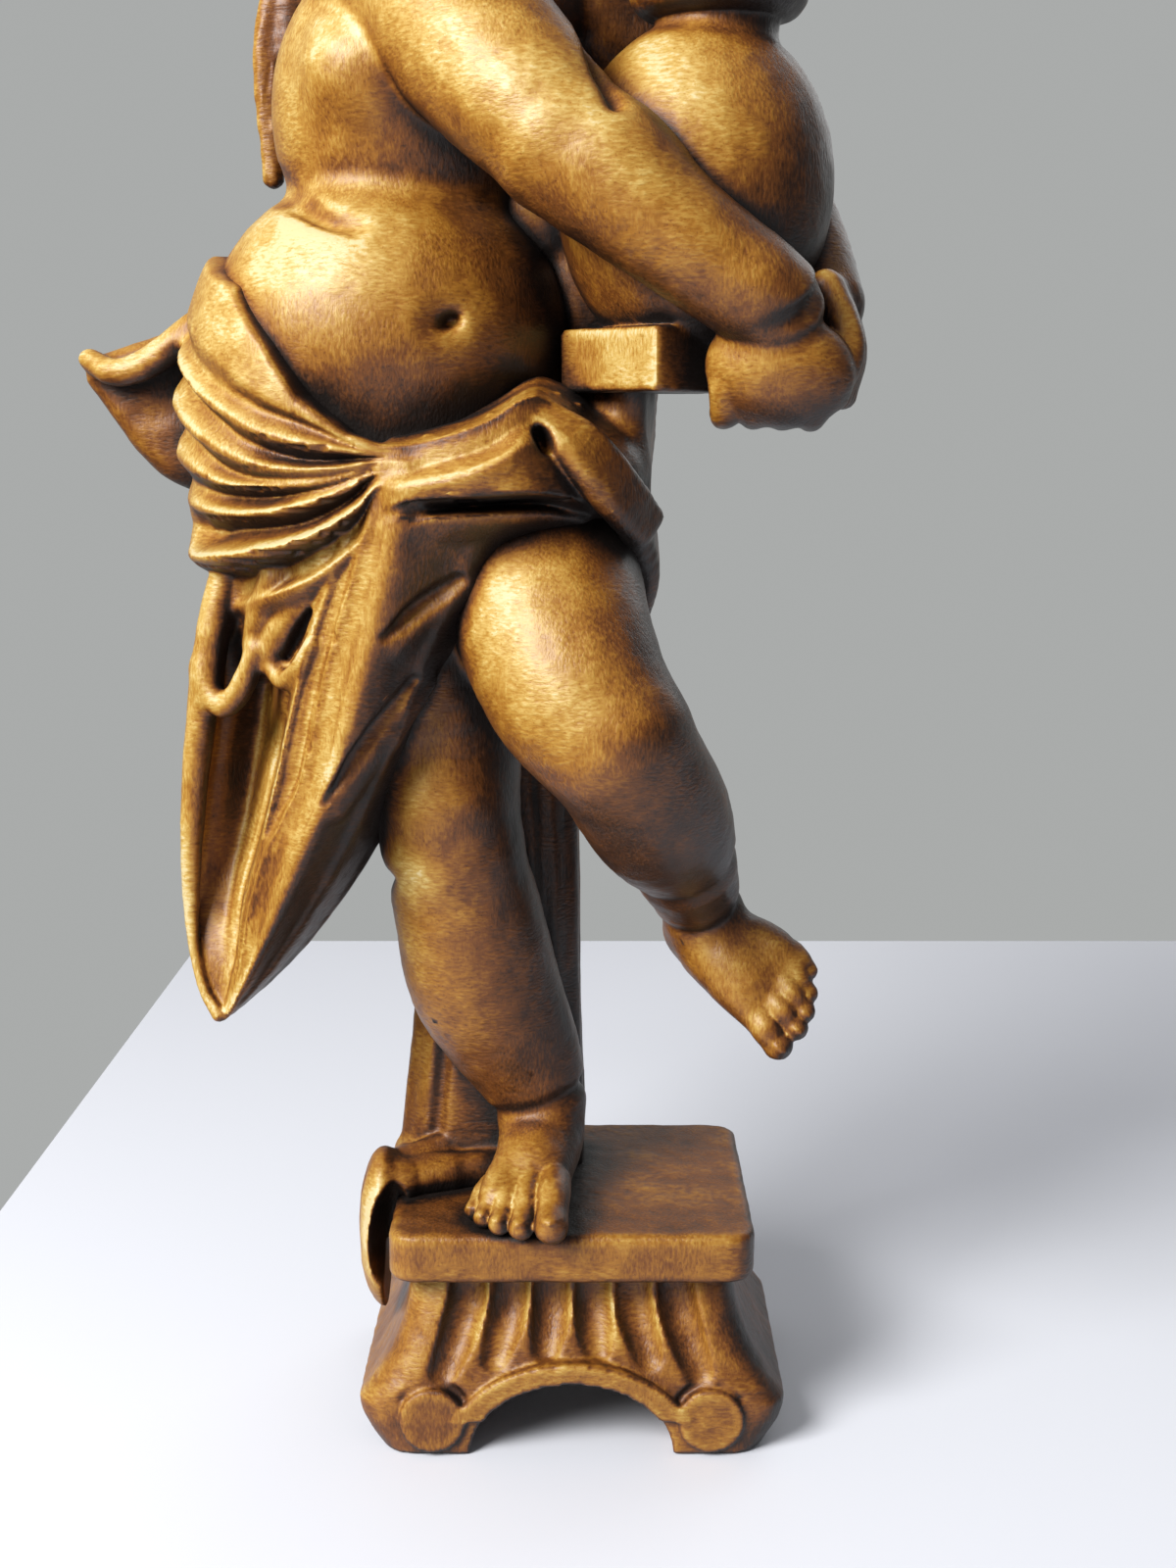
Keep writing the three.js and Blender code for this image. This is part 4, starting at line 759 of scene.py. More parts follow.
# Long tail of cloth beside the standing leg: lines by height, x and how far forward, from its left rim
tailLines = [
    [(102, -82, 22), (110, -85.5, 20), (118, -87.5, 18), (131, -88.5, 16), (152, -87.5, 14),
     (175, -84.5, 13), (196, -80.5, 14), (212, -77, 15), (231, -72, 12)],
    [(102, -81.8, 22.4), (110, -84.6, 21), (118, -85.8, 19), (131, -86, 13.6), (152, -83.8, 9),
     (174, -80.4, 8), (186, -78, 12), (198, -75, 20), (212, -71, 22), (231, -66, 16)],
    [(102, -81.4, 23), (110, -82.4, 21.4), (118, -82, 19.4), (131, -80.2, 13), (152, -76.4, 5),
     (174, -72.6, 3), (181, -71, 8), (187, -69.4, 24), (198, -66, 29), (212, -63, 32),
     (231, -60, 18)],
    [(102, -81, 24), (110, -79.4, 22.4), (119, -77.4, 20.8), (131, -76.4, 17), (144, -72.6, 15),
     (157, -69.2, 15), (169, -66, 17), (182, -62.6, 26), (195, -58.2, 34), (212, -50.6, 41),
     (231, -48, 38)],
    [(102, -80.8, 24.6), (109, -78.8, 24.8), (121, -76.1, 25.8), (131, -74.2, 27), (144, -70, 30),
     (153, -67.2, 32), (162, -64.7, 33.6), (179, -60.2, 36), (196, -54.4, 39.4), (212, -48.4, 42.6),
     (231, -45, 41)],
    [(102, -80.7, 24.7), (109, -78.6, 25), (121, -75.8, 26), (131, -73.9, 27.2), (144, -69.5, 30.2),
     (153, -66, 31.2), (162, -63.2, 32.8), (179, -58.8, 35.2), (196, -53, 38.8), (212, -47.2, 42.4),
     (231, -44, 42)],
    [(102, -80.6, 24.8), (109, -78.4, 25.2), (121, -75.5, 26.3), (131, -73.5, 27.6),
     (144, -69.1, 30.8), (153, -64.8, 31.8), (162, -60.2, 33.6), (179, -56, 36.4), (196, -50.8, 40),
     (212, -45.8, 43.2), (231, -42.6, 43)],
    [(102, -80.5, 25), (109, -78, 25.8), (121, -75, 27.2), (131, -72.8, 28.8), (144, -68.2, 32.2),
     (153, -63.2, 34.4), (162, -58.8, 36.6), (179, -54.4, 39.6), (196, -49.5, 42.4), (212, -44, 46),
     (222, -40.6, 47.8), (231, -38, 48)],
    [(102, -80.2, 25.2), (123, -69, 31.4), (143, -59.6, 37.4), (162, -51.2, 42), (192, -42, 46.2),
     (212, -37, 49), (222, -35, 49.8), (231, -34, 49)],
    [(102, -80, 24), (120, -66, 25), (142, -52.4, 30), (172, -38, 36), (192, -30, 39),
     (212, -22, 42), (231, -18, 40)],
    [(102, -79, 21), (118, -62, 16), (142, -45, 14), (172, -32.4, 18), (192, -22, 24),
     (212, -9, 32), (231, -6, 28)],
]
tailRim = [[-74, -16, 216, 3.2], [-79, -17.6, 200, 3.9], [-82, -18.2, 186, 3.9], [-84.4, -17.8, 172, 3.5],
           [-87, -17.4, 152, 2.9], [-88.2, -18, 131, 2], [-87.4, -20, 118, 1.4], [-85, -22, 109, 1.3],
           [-81.6, -24, 103.8, 1.6]]
tailBack = [
    [(102, -84, 11), (118, -91, 2), (131, -92, -1), (175, -88, -1), (231, -74, -2)],
    [(102, -82, 12), (131, -78, -5), (175, -66, -6), (231, -50, -6)],
    [(102, -80, 12), (142, -44, 4), (172, -33, 5), (231, -6, 5)],
]
tailEnds = dict(low=102.5, high=231, round=3)


def clothTail():
    cloth = Carving()
    front, back = Folds(tailLines), Folds(tailBack)
    left, right = front.lines[0], front.lines[-1]
    low, high, rounding = tailEnds.values()

    def sheet(x, y, z):
        within = np.maximum(np.interp(z, left[0], left[1]) - x, x - np.interp(z, right[0], right[1]))
        rear = 0.9 * (back.proud(z, x) + y)
        ends = -softMin(-np.maximum(0.95 * within, low - z), -rear, rounding)
        return np.maximum(-softMin(-front.above(z, x, -y), -ends, rounding), z - high)

    def on(x, z, lift):
        return [x, -float(front.proud(np.array([z]), np.array([x]))[0]) - lift, z]

    cloth.add(Formula([-94, -52, low], [-8, 8, high], sheet))
    cloth.add(Rod(tailRim), 1.5)
    # rolled lips of cloth under the pouch and beside the fin, each with its slot
    deep = [0.35, 0.93, 0]
    cloth.add(Rod([[-83, -18.4, 184, 3.2], [-81.4, -20.4, 178.6, 3], [-78.4, -22, 176, 3],
                   [-75.2, -23.4, 178.4, 2.9], [-72.4, -25, 183, 2.7], [-70, -26.4, 189, 2.4]]), 2)
    cloth.cut(Rod([[-76.4, -24, 196, 0.8, 6], [-77.4, -24, 189, 1.9, 7], [-78.4, -24, 181.6, 1.5, 7]],
                  deep), 0.8)
    cloth.add(Rod([[*on(-64, 205, -2), 4], [*on(-68.6, 196, -1.6), 3.6], [*on(-71.2, 190, 0), 2.2]]), 2.5)
    cloth.add(Rod([[*on(-60.4, 198.4, -1), 1.8], [*on(-65, 192, -0.6), 2.2], [*on(-66.6, 186, 2), 2.4],
                   [*on(-63.6, 182.6, 3), 2.4], [*on(-60, 185, 1), 2.2], [*on(-56, 191, -0.8), 1.8]]), 2)
    cloth.cut(Rod([[*on(-56.4, 198.6, 0.4), 0.7, 3], [*on(-60, 193, 0.4), 1.3, 4],
                   [*on(-63.4, 187.4, 0.8), 1, 3]], deep), 0.6)
    for slit in ([(-39.4, 193.6, 0.6), (-33, 199.6, 1.9), (-24, 205.4, 1.6)],
                 [(-53.6, 156.6, 0.5), (-45, 169.6, 2), (-34, 183.4, 1.3)]):
        cloth.add(Rod([[*on(x + 2.4, z - 1.6, -1.6), 1 + 0.4 * r] for x, z, r in slit]), 4)
        cloth.cut(Rod([[*on(x, z, -0.2), r] for x, z, r in slit]), 1.4)
    return cloth


# Loose end blown out behind the hip
def clothEnd():
    cloth = Carving()
    cloth.add(Rod([[-78, 16, 242, 7, 23], [-94, 13, 243, 5.5, 17], [-111, 11, 250, 3, 4]],
                  [0.12, 0, 1], 18))
    cloth.add(Rod([[-86, 2, 260, 4], [-98, 3, 252, 3.6], [-106, 4, 250, 3.2], [-112.5, 8, 253, 2.6]]), 2)
    cloth.cut(Rod([[-86, 0, 246, 7], [-98, 2, 241, 6], [-106, 3, 243, 3]]), 1.5)
    return cloth


# Cloth falling behind the standing leg to the slab
post = dict(line=[[-30, 24, 222], [-22, 22, 175], [-18, 19, 130], [-19, 18, 95], [-20, 16, 66],
                  [-21, 15, 51]],
            deep=[15, 13, 12, 12, 13, 13], wide=[30, 22, 18.5, 20, 22.5, 23])


def clothPost():
    cloth = Carving()
    rows = list(zip(post["line"], post["deep"], post["wide"]))
    cloth.add(Rod([[*p, deep, wide] for p, deep, wide in rows], [1, 0, 0]))
    for i in range(-2, 3):
        cloth.add(Rod([[p[0] + i * wide * 0.42, p[1] + deep * (0.86 - 0.1 * i * i), p[2], 4.2]
                       for p, deep, wide in rows]), 0.8)
    for side in (-1, 1):
        cloth.add(Rod([[p[0] + side * wide * 0.86, p[1] - 3, p[2], 3.6] for p, deep, wide in rows]), 1)
        cloth.cut(Rod([[p[0] + side * wide * 0.62, p[1] - deep * 0.95, p[2], 1.6]
                       for p, deep, wide in rows[1:]]), 2)
    # the hem spreads over the slab and curls down over its edge
    cloth.add(Rod([[-14, 2, 56, 4.5], [-28, -2, 57, 4.6], [-40, -6, 56.5, 4.4], [-46, -10, 53, 3.6]]), 3)
    cloth.add(Rod([[-14, 7, 63, 4], [-28, 6, 62, 3.6], [-40, 1, 59.5, 3]]), 1)
    cloth.cut(Rod([[-16, -4.5, 55.4, 0.8], [-30, -8.5, 54.8, 1.1], [-41, -13, 54.4, 0.8]]), 0.6)
    cloth.add(Rod([[-32, 4, 57, 4, 13], [-41, 1, 57, 4.2, 14]], [0, 1, 0]), 3)
    cloth.add(Egg([-46, -5, 44], [6.6, 14, 20.5], 0, 4), 3)
    cloth.cut(Egg([-43.6, -18, 46.5], [5, 11, 13.5], 0, 4, 6), 0.8)
    cloth.cut(Rod([[-43, -20, 38, 0.6], [-46.4, -19, 33, 1.1], [-50, -15, 28, 0.6]]), 1.2)
    for y in (-9, 1):
        cloth.cut(Rod([[-51.4, y + 2, 61, 1], [-53.6, y, 46, 2], [-51.4, y + 1, 29, 1]]), 2.5)
    return cloth


slab = dict(width=85.4, depth=75, bottom=42.2, top=54, corner=6.5, edge=1.7, middleY=2.5)


def figureForms():
    skin = Carving()
    skin.add(body())
    skin.add(standingLeg(), 4)
    skin.add(raisedLeg(), 3)
    skin.add(arms(), 2)
    skin.add(childHead(), 3)
    low, top, y = slab["bottom"], slab["top"], slab["middleY"]
    under = Block([0, y, low / 2 - 5], [slab["width"] / 2 + 3, slab["depth"], low / 2 + 5], 1, 0)
    cloth = Carving()
    cloth.add(hipCloth())
    cloth.add(clothTail(), 1.5)
    cloth.add(clothEnd(), 2.5)
    cloth.add(clothPost(), 4)
    cloth.cut(under)
    half = [slab["width"] / 2, slab["depth"] / 2, (top - low) / 2]
    plinth = Carving()
    plinth.add(Block([0, y, (top + low) / 2], half, slab["corner"], slab["edge"]))
    return skin, cloth, vessel(), plinth


# Fluted foot: flared sides, arch tunnel from front to back, scroll rolls at both sides
foot = dict(height=41.9, neck=38.2, spread=50.5, spreadAt=12, sole=44.8, depthTop=31, depthFoot=38,
            flareOver=26, middleY=2, archHalf=23.8, archHeight=18.3, border=5, proud=1.6, scrollX=32.6,
            scrollZ=9, scrollRadius=7.8, scrollProud=1.4, flutes=6, pitch=9.8, fluteRadius=4.9, fan=1.22,
            round=9, brow=(25, 150))


def scrollEnd(atX, atZ, radius, front, face):
    # round end of a roll, its flat side looking out
    half = 8

    def disc(x, y, z):
        return np.maximum(np.hypot(x - atX, z - atZ) - radius, np.abs(y - front + face * half) - half)

    low = [atX - radius, front - 2 * half, 0]
    return Formula(low, [atX + radius, front + 2 * half, atZ + radius], disc)


def fluteFoot():
    form = Carving()
    height, middleY = foot["height"], foot["middleY"]
    flare = foot["spread"] - foot["neck"]

    def halfWidth(z):
        rise = foot["neck"] + flare * (np.clip(height - z, 0, None) / (height - foot["spreadAt"]))**2
        heel = foot["sole"] + (foot["spread"] - foot["sole"]) * np.sin(
            math.pi / 2 * np.clip(z, 0, None) / foot["spreadAt"])
        return np.where(z > foot["spreadAt"], rise, heel)

    def halfDepth(z):
        share = np.minimum(1, (height - z) / foot["flareOver"])
        return foot["depthTop"] + (foot["depthFoot"] - foot["depthTop"]) * share

    def bulk(x, y, z):
        across = 0.85 * (np.abs(x) - halfWidth(z))
        along = 0.93 * (np.abs(y - middleY) - halfDepth(z))
        return np.maximum.reduce([-softMin(-across, -along, foot["round"]), -z, z - height])

    form.add(Formula([-60, -50, 0], [60, 54, height], bulk))
    for face in (-1, 1):
        for i in range(foot["flutes"]):
            x = (i - (foot["flutes"] - 1) / 2) * foot["pitch"]
            stop = foot["archHeight"] + foot["border"] + 3 - (x / foot["archHalf"])**2 * 5
            top = middleY + face * (foot["depthTop"] + 2.2)
            low = middleY + face * (float(halfDepth(stop)) + 2.6)
            radius = foot["fluteRadius"]
            form.cut(Rod([[x, top, height + 3, radius], [x, top, height - 6, radius],
                          [x * foot["fan"], low, stop, radius * 0.9]]), 0.4)
        front = middleY + face * (foot["depthFoot"] + foot["scrollProud"])
        for side in (-1, 1):
            sx, sz, sr = side * foot["scrollX"], foot["scrollZ"], foot["scrollRadius"]
            form.cut(Rod([[side * 34, middleY + face * 33, height - 2, 2.4],
                          [side * 39, middleY + face * 37, 29, 2.6],
                          [side * 43.5, middleY + face * 40.5, 20, 2]]), 0.8)
            turn = [90 + side * (90 - a) for a in range(*foot["brow"], 20)]
            form.cut(Rod([[sx + (sr + 1) * math.cos(math.radians(a)), front - face * 1.4,
                           sz + (sr + 1) * math.sin(math.radians(a)), 0.9 + 0.5 * math.sin(i)]
                          for i, a in enumerate(turn)]), 0.5)
            form.add(scrollEnd(sx, sz, sr, front, face), 0.4)
    reachY = foot["depthFoot"] + foot["proud"]

    def oval(x, z):
        wide, high = foot["archHalf"], foot["archHeight"]
        return (np.hypot(x / wide, np.maximum(z, 0) / high) - 1) * high

    def border(x, y, z):
        half = foot["border"] / 2
        return np.maximum.reduce([np.abs(oval(x, z) - half) - half, np.abs(y - middleY) - reachY,
                                  foot["scrollZ"] - z])

    form.add(Formula([-32, -60, 0], [32, 60, 26], border), 0.4)
    form.cut(Formula([-26, -60, -9], [26, 60, 22], lambda x, y, z: oval(x, z)))
    form.keep(Formula([-1e4] * 3, [1e4] * 3, lambda x, y, z: -z))
    return form


# One wing, let into the back: long feathers hang from an arched top. side is -1 for the angel's right
wing = dict(top=364, width=33, feathers=5, gap=0.35, barb=1.7, barbDepth=0.14)


def barbs(along, off):
    slant = (np.abs(off) - 0.16 * along) * 2 * math.pi / wing["barb"]
    return wing["barbDepth"] * (1 + np.cos(slant)) - 0.5 * np.exp(-(off / 0.8)**2)


def wingForm(side, against):
    form = Carving()
    yaw = math.radians(12 if side < 0 else 38)
    root = [-41, 27.5] if side < 0 else [-9, 27]
    c, s = math.cos(yaw), math.sin(yaw)
    flat = [c, s, 0]
    top = wing["top"]

    def spot(out, up, back):
        return [root[0] + side * out * c - back * s, root[1] + side * out * s + back * c, up]

    form.add(Rod([[*spot(6, top - 14, 2), 5, 9], [*spot(13, top - 24, 2), 5, 15],
                  [*spot(15, top - 40, 2), 4.5, 15]], flat))
    form.add(Rod([[*spot(-2, top - 30, 0), 5.5], [*spot(6, top - 8, 1.5), 5.4], [*spot(16, top - 2, 2), 5],
                  [*spot(26, top - 12, 2), 4.2]]), 2)
    form.add(Egg(spot(12, top - 14, 3), [11, 5, 9], math.degrees(yaw)), 2)
    for i in range(wing["feathers"]):
        t = i / (wing["feathers"] - 1)
        out = 3 + (wing["width"] - 7) * t
        tip = top - 46 - 23 * t**0.8
        form.add(Rod([[*spot(out * 0.85, top - 18, 2 - t), 3, 5], [*spot(out, top - 40, 3 - t), 2.6, 5.2],
                      [*spot(out + 1, tip, 2), 1.8, 2.6]], flat, relief=barbs), 0.3)
    for i in range(wing["feathers"] - 1):
        t = i / (wing["feathers"] - 2)
        out = 5 + (wing["width"] - 11) * t
        form.add(Rod([[*spot(out * 0.9, top - 10, 4), 3, 5], [*spot(out, top - 26, 5), 2.8, 5],
                      [*spot(out + 1, top - 34, 4), 2, 3]], flat, relief=barbs), 0.3)
    form.cut(Grown(against, wing["gap"]))
    return form


# From carvings to meshes
def meshOf(name, points, quads):
    mesh = bpy.data.meshes.new(name)
    mesh.vertices.add(len(points))
    mesh.vertices.foreach_set("co", points.astype(np.float32).ravel())
    mesh.loops.add(quads.size)
    mesh.loops.foreach_set("vertex_index", quads.astype(np.int32).ravel())
    mesh.polygons.add(len(quads))
    mesh.polygons.foreach_set("loop_start", np.arange(0, quads.size, 4, dtype=np.int32))
    mesh.update(calc_edges=True)
    mesh.validate()
    return mesh


def baked(piece):
    # the modifiers' result as a plain mesh
    graph = bpy.context.evaluated_depsgraph_get()
    mesh = bpy.data.meshes.new_from_object(piece.evaluated_get(graph))
    piece.modifiers.clear()
    old = piece.data
    piece.data = mesh
    bpy.data.meshes.remove(old)


def toolMarkTree(material):
    # pushes the skin in and out along its normal, as a gouge leaves it
    tree = bpy.data.node_groups.new("toolMarks", "GeometryNodeTree")
    ports = tree.interface
    ports.new_socket("Geometry", in_out="INPUT", socket_type="NodeSocketGeometry")
    depth = ports.new_socket("Depth", in_out="INPUT", socket_type="NodeSocketFloat")
    size = ports.new_socket("Mark size", in_out="INPUT", socket_type="NodeSocketFloat")
    ports.new_socket("Geometry", in_out="OUTPUT", socket_type="NodeSocketGeometry")
    nodes, links = tree.nodes, tree.links
    start, end = nodes.new("NodeGroupInput"), nodes.new("NodeGroupOutput")
    noise = nodes.new("ShaderNodeTexNoise")
    noise.inputs["Detail"].default_value = 1
    scale = nodes.new("ShaderNodeMath")
    scale.operation = "DIVIDE"
    scale.inputs[0].default_value = 1
    links.new(start.outputs[2], scale.inputs[1])
    links.new(scale.outputs[0], noise.inputs["Scale"])
    centred = nodes.new("ShaderNodeMath")
    centred.operation = "SUBTRACT"
    centred.inputs[1].default_value = 0.5
    links.new(noise.outputs[0], centred.inputs[0])
    push = nodes.new("ShaderNodeMath")
    push.operation = "MULTIPLY"
    links.new(centred.outputs[0], push.inputs[0])
    links.new(start.outputs[1], push.inputs[1])
    out = nodes.new("ShaderNodeVectorMath")
    out.operation = "SCALE"
    links.new(nodes.new("GeometryNodeInputNormal").outputs[0], out.inputs[0])
    links.new(push.outputs[0], out.inputs["Scale"])
    place = nodes.new("GeometryNodeSetPosition")
    real = nodes.new("GeometryNodeRealizeInstances")
    finish = nodes.new("GeometryNodeSetMaterial")
    finish.inputs["Material"].default_value = material
    links.new(start.outputs[0], place.inputs["Geometry"])
    links.new(out.outputs[0], place.inputs["Offset"])
    links.new(place.outputs[0], real.inputs[0])
    links.new(real.outputs[0], finish.inputs["Geometry"])
    links.new(finish.outputs[0], end.inputs[0])
    return tree, depth.identifier, size.identifier


# How far the probes look for hollows and edges, each reach with its share, and the painted light and shade
# by place
hollowEdgeReach = dict(margin=12.0, block=10, most=1.4, hollow=[(1.5, 0.4), (4, 0.35), (9, 0.35)],
                  edge=[(1.2, 0.45), (3, 0.45), (7, 0.2)])
paintedShading = dict(window=(-0.54, -0.68, 0.50), back=0.4, backFrom=-5, backOver=35, low=0.12, lowFull=1.15,
                lowUnder=200, least=0.2, rear=0.42, away=(0.7, 0.8, 0.2))
plainMargin = Carving.margin


def stainAndPaintedLight(piece, form):
    # how deep a hollow and how sharp an edge every vertex sits on, for stain and painted shade to gather
    # and wear to pale, and the painted light and shade by facing and place
    mesh = piece.data
    co = np.empty(len(mesh.vertices) * 3, np.float32)
    mesh.vertices.foreach_get("co", co)
    points = co.reshape(-1, 3) / mm - shift
    normal = np.empty(len(mesh.vertices) * 3, np.float32)
    mesh.vertex_normals.foreach_get("vector", normal)
    normal = normal.reshape(-1, 3)
    Carving.margin = hollowEdgeReach["margin"]

    def weigh(way, rows):
        # how much wood stands outside (way -1) or is missing inside (way 1) at each reach
        total = np.zeros(len(points))
        for reach, share in rows:
            found = sample(form, points - way * normal * reach, hollowEdgeReach["block"])
            total += share * np.clip(1 + way * found / reach, 0, hollowEdgeReach["most"])
        return total

    hollow = weigh(-1, hollowEdgeReach["hollow"])
    edge = weigh(1, hollowEdgeReach["edge"])
    Carving.margin = plainMargin
    # painted light: faces turned toward the window lamp are paler, faces turned away are painted darker
    faded = 0.5 + 0.5 * normal @ unit(paintedShading["window"])
    # painted shade on faces that look forward from behind the middle, such as the cloth behind the standing
    # leg
    depth = np.clip((points[:, 1] - paintedShading["backFrom"]) / paintedShading["backOver"], 0, 1)
    # painted shade low down, under the drape and the lifted leg
    low = np.clip(paintedShading["lowFull"] - points[:, 2] / paintedShading["lowUnder"], 0, 1)
    faded = faded - paintedShading["back"] * depth * np.clip(-normal[:, 1], 0, 1) - paintedShading["low"] * low
    # faces turned away from the window keep a floor, so the painted shade stays amber-brown there and does
    # not go black
    away = np.clip(normal @ unit(paintedShading["away"]), 0, 1)
    faded = np.maximum(faded, paintedShading["least"] + paintedShading["rear"] * away)
    for name, value in (("hollow", hollow), ("edge", edge), ("faded", faded)):
        layer = mesh.attributes.new(name, "FLOAT", "POINT")
        layer.data.foreach_set("value", np.clip(value, 0, 1).astype(np.float32))
    mesh.polygons.foreach_set("use_smooth", np.ones(len(mesh.polygons), bool))


# Shader maths: a socket that can be reckoned with
class Wire:
    def __init__(self, tree, socket):
        self.tree = tree
        self.socket = socket

    def make(self, kind, settings=None, inputs=None, out=0):
        node = self.tree.nodes.new(kind)
        for name, value in (settings or {}).items():
            if name == "stops":
                ramp = node.color_ramp.elements
                while len(ramp) < len(value):
                    ramp.new(0.5)
                for stop, (spot, colour) in zip(ramp, value):
                    stop.position = spot
                    stop.color = (*colour, 1)
            else:
                setattr(node, name, value)
        for key, value in (inputs or {}).items():
            if isinstance(value, Wire):
                self.tree.links.new(value.socket, node.inputs[key])
            else:
                node.inputs[key].default_value = value
        return Wire(self.tree, node.outputs[out])

    def math(self, operation, a, b):
        return self.make("ShaderNodeMath", {"operation": operation}, {0: a, 1: b})

    def __add__(self, other):
        return self.math("ADD", self, other)

    def __radd__(self, other):
        return self.math("ADD", other, self)

    def __sub__(self, other):
        return self.math("SUBTRACT", self, other)

    def __rsub__(self, other):
        return self.math("SUBTRACT", other, self)

    def __mul__(self, other):
        return self.math("MULTIPLY", self, other)

    def __pow__(self, other):
        return self.math("POWER", self, other)

    def ramp(self, low, high):
        settings = {"interpolation_type": "SMOOTHSTEP"}
        return self.make("ShaderNodeMapRange", settings, {0: self, 1: low, 2: high})

    def blend(self, a, b):
        # this wire as the share of colour b laid over colour a
        settings = {"data_type": "RGBA", "clamp_factor": True}
        return self.make("ShaderNodeMix", settings, {0: self, 6: a, 7: b}, 2)


woodTones = [(0, (0.008, 0.004, 0.0025)), (0.2, (0.046, 0.015, 0.0042)), (0.42, (0.16, 0.05, 0.0075)),
             (0.6, (0.30, 0.122, 0.013)), (0.76, (0.42, 0.225, 0.038)), (0.9, (0.55, 0.37, 0.105)),
             (1, (0.64, 0.51, 0.26))]
# Sizes of the marks in metres, how far each moves the tone, and the sheen of the wax
woodMarks = dict(mottle=0.02, patch=0.006, stroke=0.0006, fleck=0.0006, swap=0.02, ripple=0.0025)
# curve shapes the painted light and shade; hollow darkens the hollows, partly as stain and partly as
# painted shade
woodTone = dict(curve=1.7, edge=0.46, hollow=-0.72, mottle=0.5, patch=0.16, stroke=0.5, fleck=-0.1,
                level=-0.09)
woodSheen = dict(roughness=0.42, stroke=0.25, hollow=0.2, gloss=0.38, coat=0.1, coatRoughness=0.3)
woodRelief = dict(stroke=1.0, patch=0.3, ripple=0.4, strength=0.7, depth=0.00026)


def stainedLimewood():
    material = bpy.data.materials.new("stainedLimewood")
    material.use_nodes = True
    tree = material.node_tree
    shader = tree.nodes["Principled BSDF"]
    start = Wire(tree, tree.nodes.new("ShaderNodeTexCoord").outputs["Object"])
    attribute = lambda name: start.make("ShaderNodeAttribute", {"attribute_name": name}, out=2)
    hollow, edge = attribute("hollow"), attribute("edge")

    def noise(mark, detail=2.0, stretch=(1, 1, 1)):
        spread = start.make("ShaderNodeMapping", inputs={0: start, 3: stretch})
        scale = 1 / woodMarks[mark]
        return start.make("ShaderNodeTexNoise", inputs={"Vector": spread, "Scale": scale, "Detail": detail})

    mottle = noise("mottle", 3)
    patch = noise("patch", 3, (1, 1, 0.7))
    # gouge strokes run upright in some places and level in others
    swap = noise("swap", 1).ramp(0.42, 0.58)
    stroke = noise("stroke", 2, (1, 1, 0.35)) * (1 - swap) + noise("stroke", 2, (0.35, 0.35, 1)) * swap
    fleck = noise("fleck", 1).ramp(0.64, 0.72)
    # tone: painted light on the side facing the window lamp and painted shade away from it, low down and
    # behind; paler on the high places where worn; darker in the hollows, partly stain and partly painted
    # shade
    tone = attribute("faded")**woodTone["curve"] + edge * woodTone["edge"] + hollow * woodTone["hollow"]
    tone = tone + (mottle - 0.5) * woodTone["mottle"] + (patch - 0.5) * woodTone["patch"]
    tone = tone + (stroke - 0.5) * woodTone["stroke"] + fleck * woodTone["fleck"] + woodTone["level"]
    colour = start.make("ShaderNodeValToRGB", {"stops": woodTones}, {0: tone})
    rough = woodSheen["roughness"] + (stroke - 0.5) * woodSheen["stroke"] + hollow * woodSheen["hollow"]
    tree.links.new(colour.socket, shader.inputs["Base Color"])
    tree.links.new(rough.socket, shader.inputs["Roughness"])
    shader.inputs["Specular IOR Level"].default_value = woodSheen["gloss"]
    shader.inputs["Coat Weight"].default_value = woodSheen["coat"]
    shader.inputs["Coat Roughness"].default_value = woodSheen["coatRoughness"]
    height = stroke * woodRelief["stroke"] + patch * woodRelief["patch"]
    height = height + noise("ripple") * woodRelief["ripple"]
    relief = {"Strength": woodRelief["strength"], "Distance": woodRelief["depth"], "Height": height}
    bump = start.make("ShaderNodeBump", inputs=relief)
    tree.links.new(bump.socket, shader.inputs["Normal"])
    return material


# The pieces
pieces = dict(
    angelSkin=dict(step=0.7, triangles=185000, soften=2, replaces="figure"),
    angelCloth=dict(step=0.55, triangles=190000, soften=6, replaces="figure"),
    urn=dict(step=0.8, triangles=40000, soften=2, replaces="figure"),
    slab=dict(step=0.8, triangles=30000, soften=2, replaces="figure"),
    wingRight=dict(step=0.7, triangles=60000, soften=2, replaces="wing_right"),
    wingLeft=dict(step=0.7, triangles=60000, soften=2, replaces="wing_left"),
    scrollFoot=dict(step=0.7, triangles=120000, soften=2, replaces="base"),
)
toolMarks = dict(depth=0.5 * mm, size=5 * mm)
baseLow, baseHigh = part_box("base")
baseMiddle = np.array([(baseLow.x + baseHigh.x) / 2, (baseLow.y + baseHigh.y) / 2, 0]) / mm
shift = baseMiddle - [0, foot["middleY"], 0]
limewood = stainedLimewood()
markTree, depthSocket, sizeSocket = toolMarkTree(limewood)
skinForm, clothForm, urnForm, slabForm = figureForms()
whole = Carving()
for part in (skinForm, clothForm, urnForm, slabForm):
    whole.add(part)
forms = dict(angelSkin=skinForm, angelCloth=clothForm, urn=urnForm, slab=slabForm,
             wingRight=wingForm(-1, whole), wingLeft=wingForm(1, whole), scrollFoot=fluteFoot())
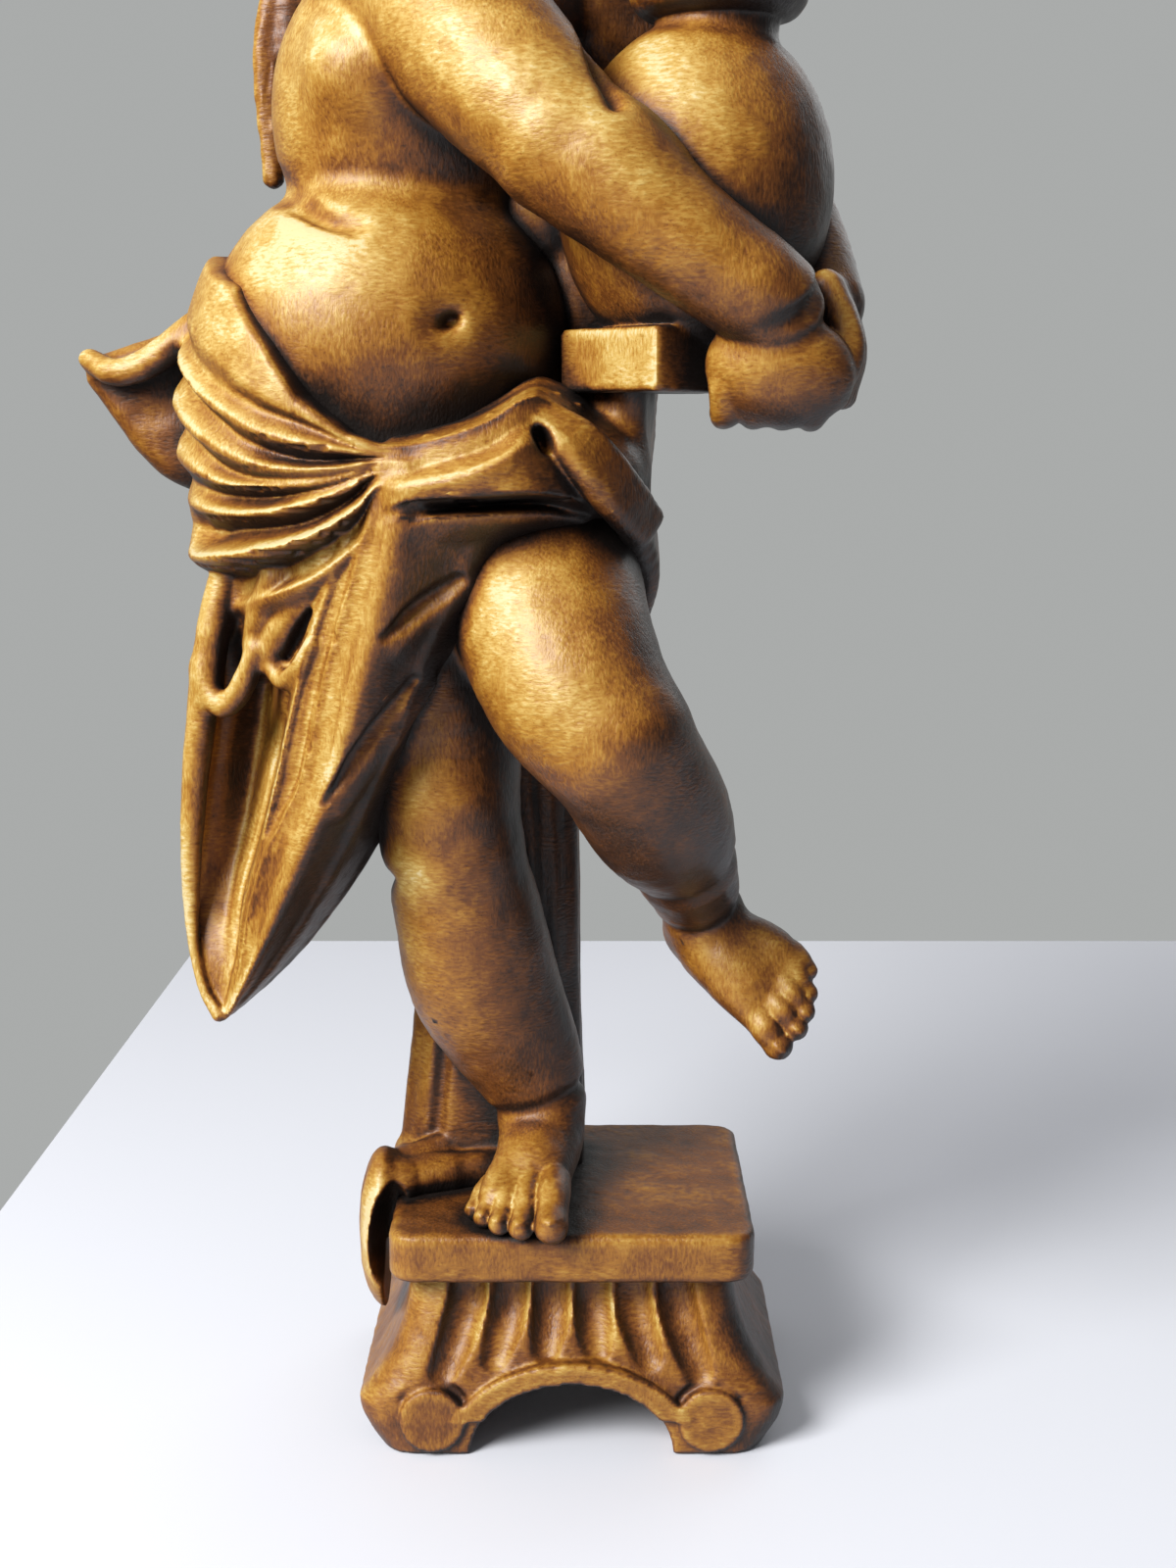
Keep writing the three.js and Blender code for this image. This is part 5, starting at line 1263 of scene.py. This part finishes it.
for name, size in pieces.items():
    points, quads = carve(forms[name], size["step"])
    piece = bpy.data.objects.new(name, meshOf(name, (points + shift) * mm, quads))
    scene.collection.objects.link(piece)
    soft = piece.modifiers.new("soft", "SMOOTH")
    soft.factor = 0.5
    soft.iterations = size["soften"]
    thin = piece.modifiers.new("thin", "DECIMATE")
    thin.ratio = min(1, size["triangles"] / (2 * len(quads)))
    thin.use_collapse_triangulate = True
    marks = piece.modifiers.new("toolMarks", "NODES")
    marks.node_group = markTree
    marks[depthSocket] = toolMarks["depth"]
    marks[sizeSocket] = toolMarks["size"]
    baked(piece)
    stainAndPaintedLight(piece, whole if size["replaces"] == "figure" else forms[name])
    piece.data.materials.clear()
    piece.data.materials.append(limewood)
    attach(piece, "root")
    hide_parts(size["replaces"])
    print("carved", name, len(quads), "faces, kept", len(piece.data.polygons))

# White table, a soft window on the upper left, a grey wall behind, and the camera at the photograph's view
studio = dict(left=-0.177, right=0.9, front=-0.9, back=0.427, floorTone=(0.80, 0.81, 0.86, 1),
              wall=(0.40, 0.41, 0.405, 1), gloom=(0.10, 0.10, 0.105, 1), ceiling=(0.32, 0.33, 0.35, 1),
              key=(-0.68, -0.70, 0.80), keySize=0.55, keyPower=23,
              rear=(0.7, 1.0, 0.85), rearSize=0.8, rearPower=2.5)
camera = dict(place=(3.8, -460, 239), pitch=-10.5, lens=45, frameHeight=36)


def paleFloor():
    sides = [(x, y, 0) for x, y in ((studio["left"], studio["front"]), (studio["right"], studio["front"]),
                                    (studio["right"], studio["back"]), (studio["left"], studio["back"]))]
    corners = [tuple(np.array(c) + shift * mm * [1, 1, 0]) for c in sides]
    mesh = bpy.data.meshes.new("floor")
    mesh.from_pydata(corners, [], [[0, 1, 2, 3]])
    floor = bpy.data.objects.new("floor", mesh)
    scene.collection.objects.link(floor)
    paint = bpy.data.materials.new("paleFloor")
    paint.use_nodes = True
    shader = paint.node_tree.nodes["Principled BSDF"]
    shader.inputs["Base Color"].default_value = studio["floorTone"]
    shader.inputs["Roughness"].default_value = 0.6
    mesh.materials.append(paint)


def softLight(name, place, size, power, aim):
    lamp = bpy.data.lights.new(name, "AREA")
    lamp.size = size
    lamp.energy = power
    light = bpy.data.objects.new(name, lamp)
    scene.collection.objects.link(light)
    light.location = place
    way = np.subtract(aim, place)
    yaw = math.atan2(way[1], way[0]) - math.pi / 2
    light.rotation_euler = (math.pi / 2 + math.atan2(way[2], math.hypot(way[0], way[1])), 0, yaw)


paleFloor()
middle = (0, 0, 0.2)
softLight("window", studio["key"], studio["keySize"], studio["keyPower"], middle)
softLight("rear", studio["rear"], studio["rearSize"], studio["rearPower"], middle)
world = bpy.data.worlds.new("studio")
world.use_nodes = True
air = world.node_tree
way = Wire(air, air.nodes.new("ShaderNodeTexCoord").outputs["Generated"])
ahead = way.make("ShaderNodeSeparateXYZ", inputs={0: way}, out=1)
above = way.make("ShaderNodeSeparateXYZ", inputs={0: way}, out=2)
glow = above.ramp(0.2, 0.9).blend(studio["gloom"], studio["ceiling"])
glow = ahead.ramp(0.1, 0.75).blend(glow, studio["wall"])
air.links.new(glow.socket, air.nodes["Background"].inputs["Color"])
scene.world = world
scene.view_settings.view_transform = "Standard"

view = bpy.data.cameras.new("view")
view.sensor_fit = "VERTICAL"
view.sensor_height = camera["frameHeight"]
view.lens = camera["lens"]
eye = bpy.data.objects.new("view", view)
scene.collection.objects.link(eye)
eye.location = (np.array(camera["place"]) + shift) * mm
eye.rotation_euler = (math.radians(90 + camera["pitch"]), 0, 0)
scene.camera = eye
print("studio ready")
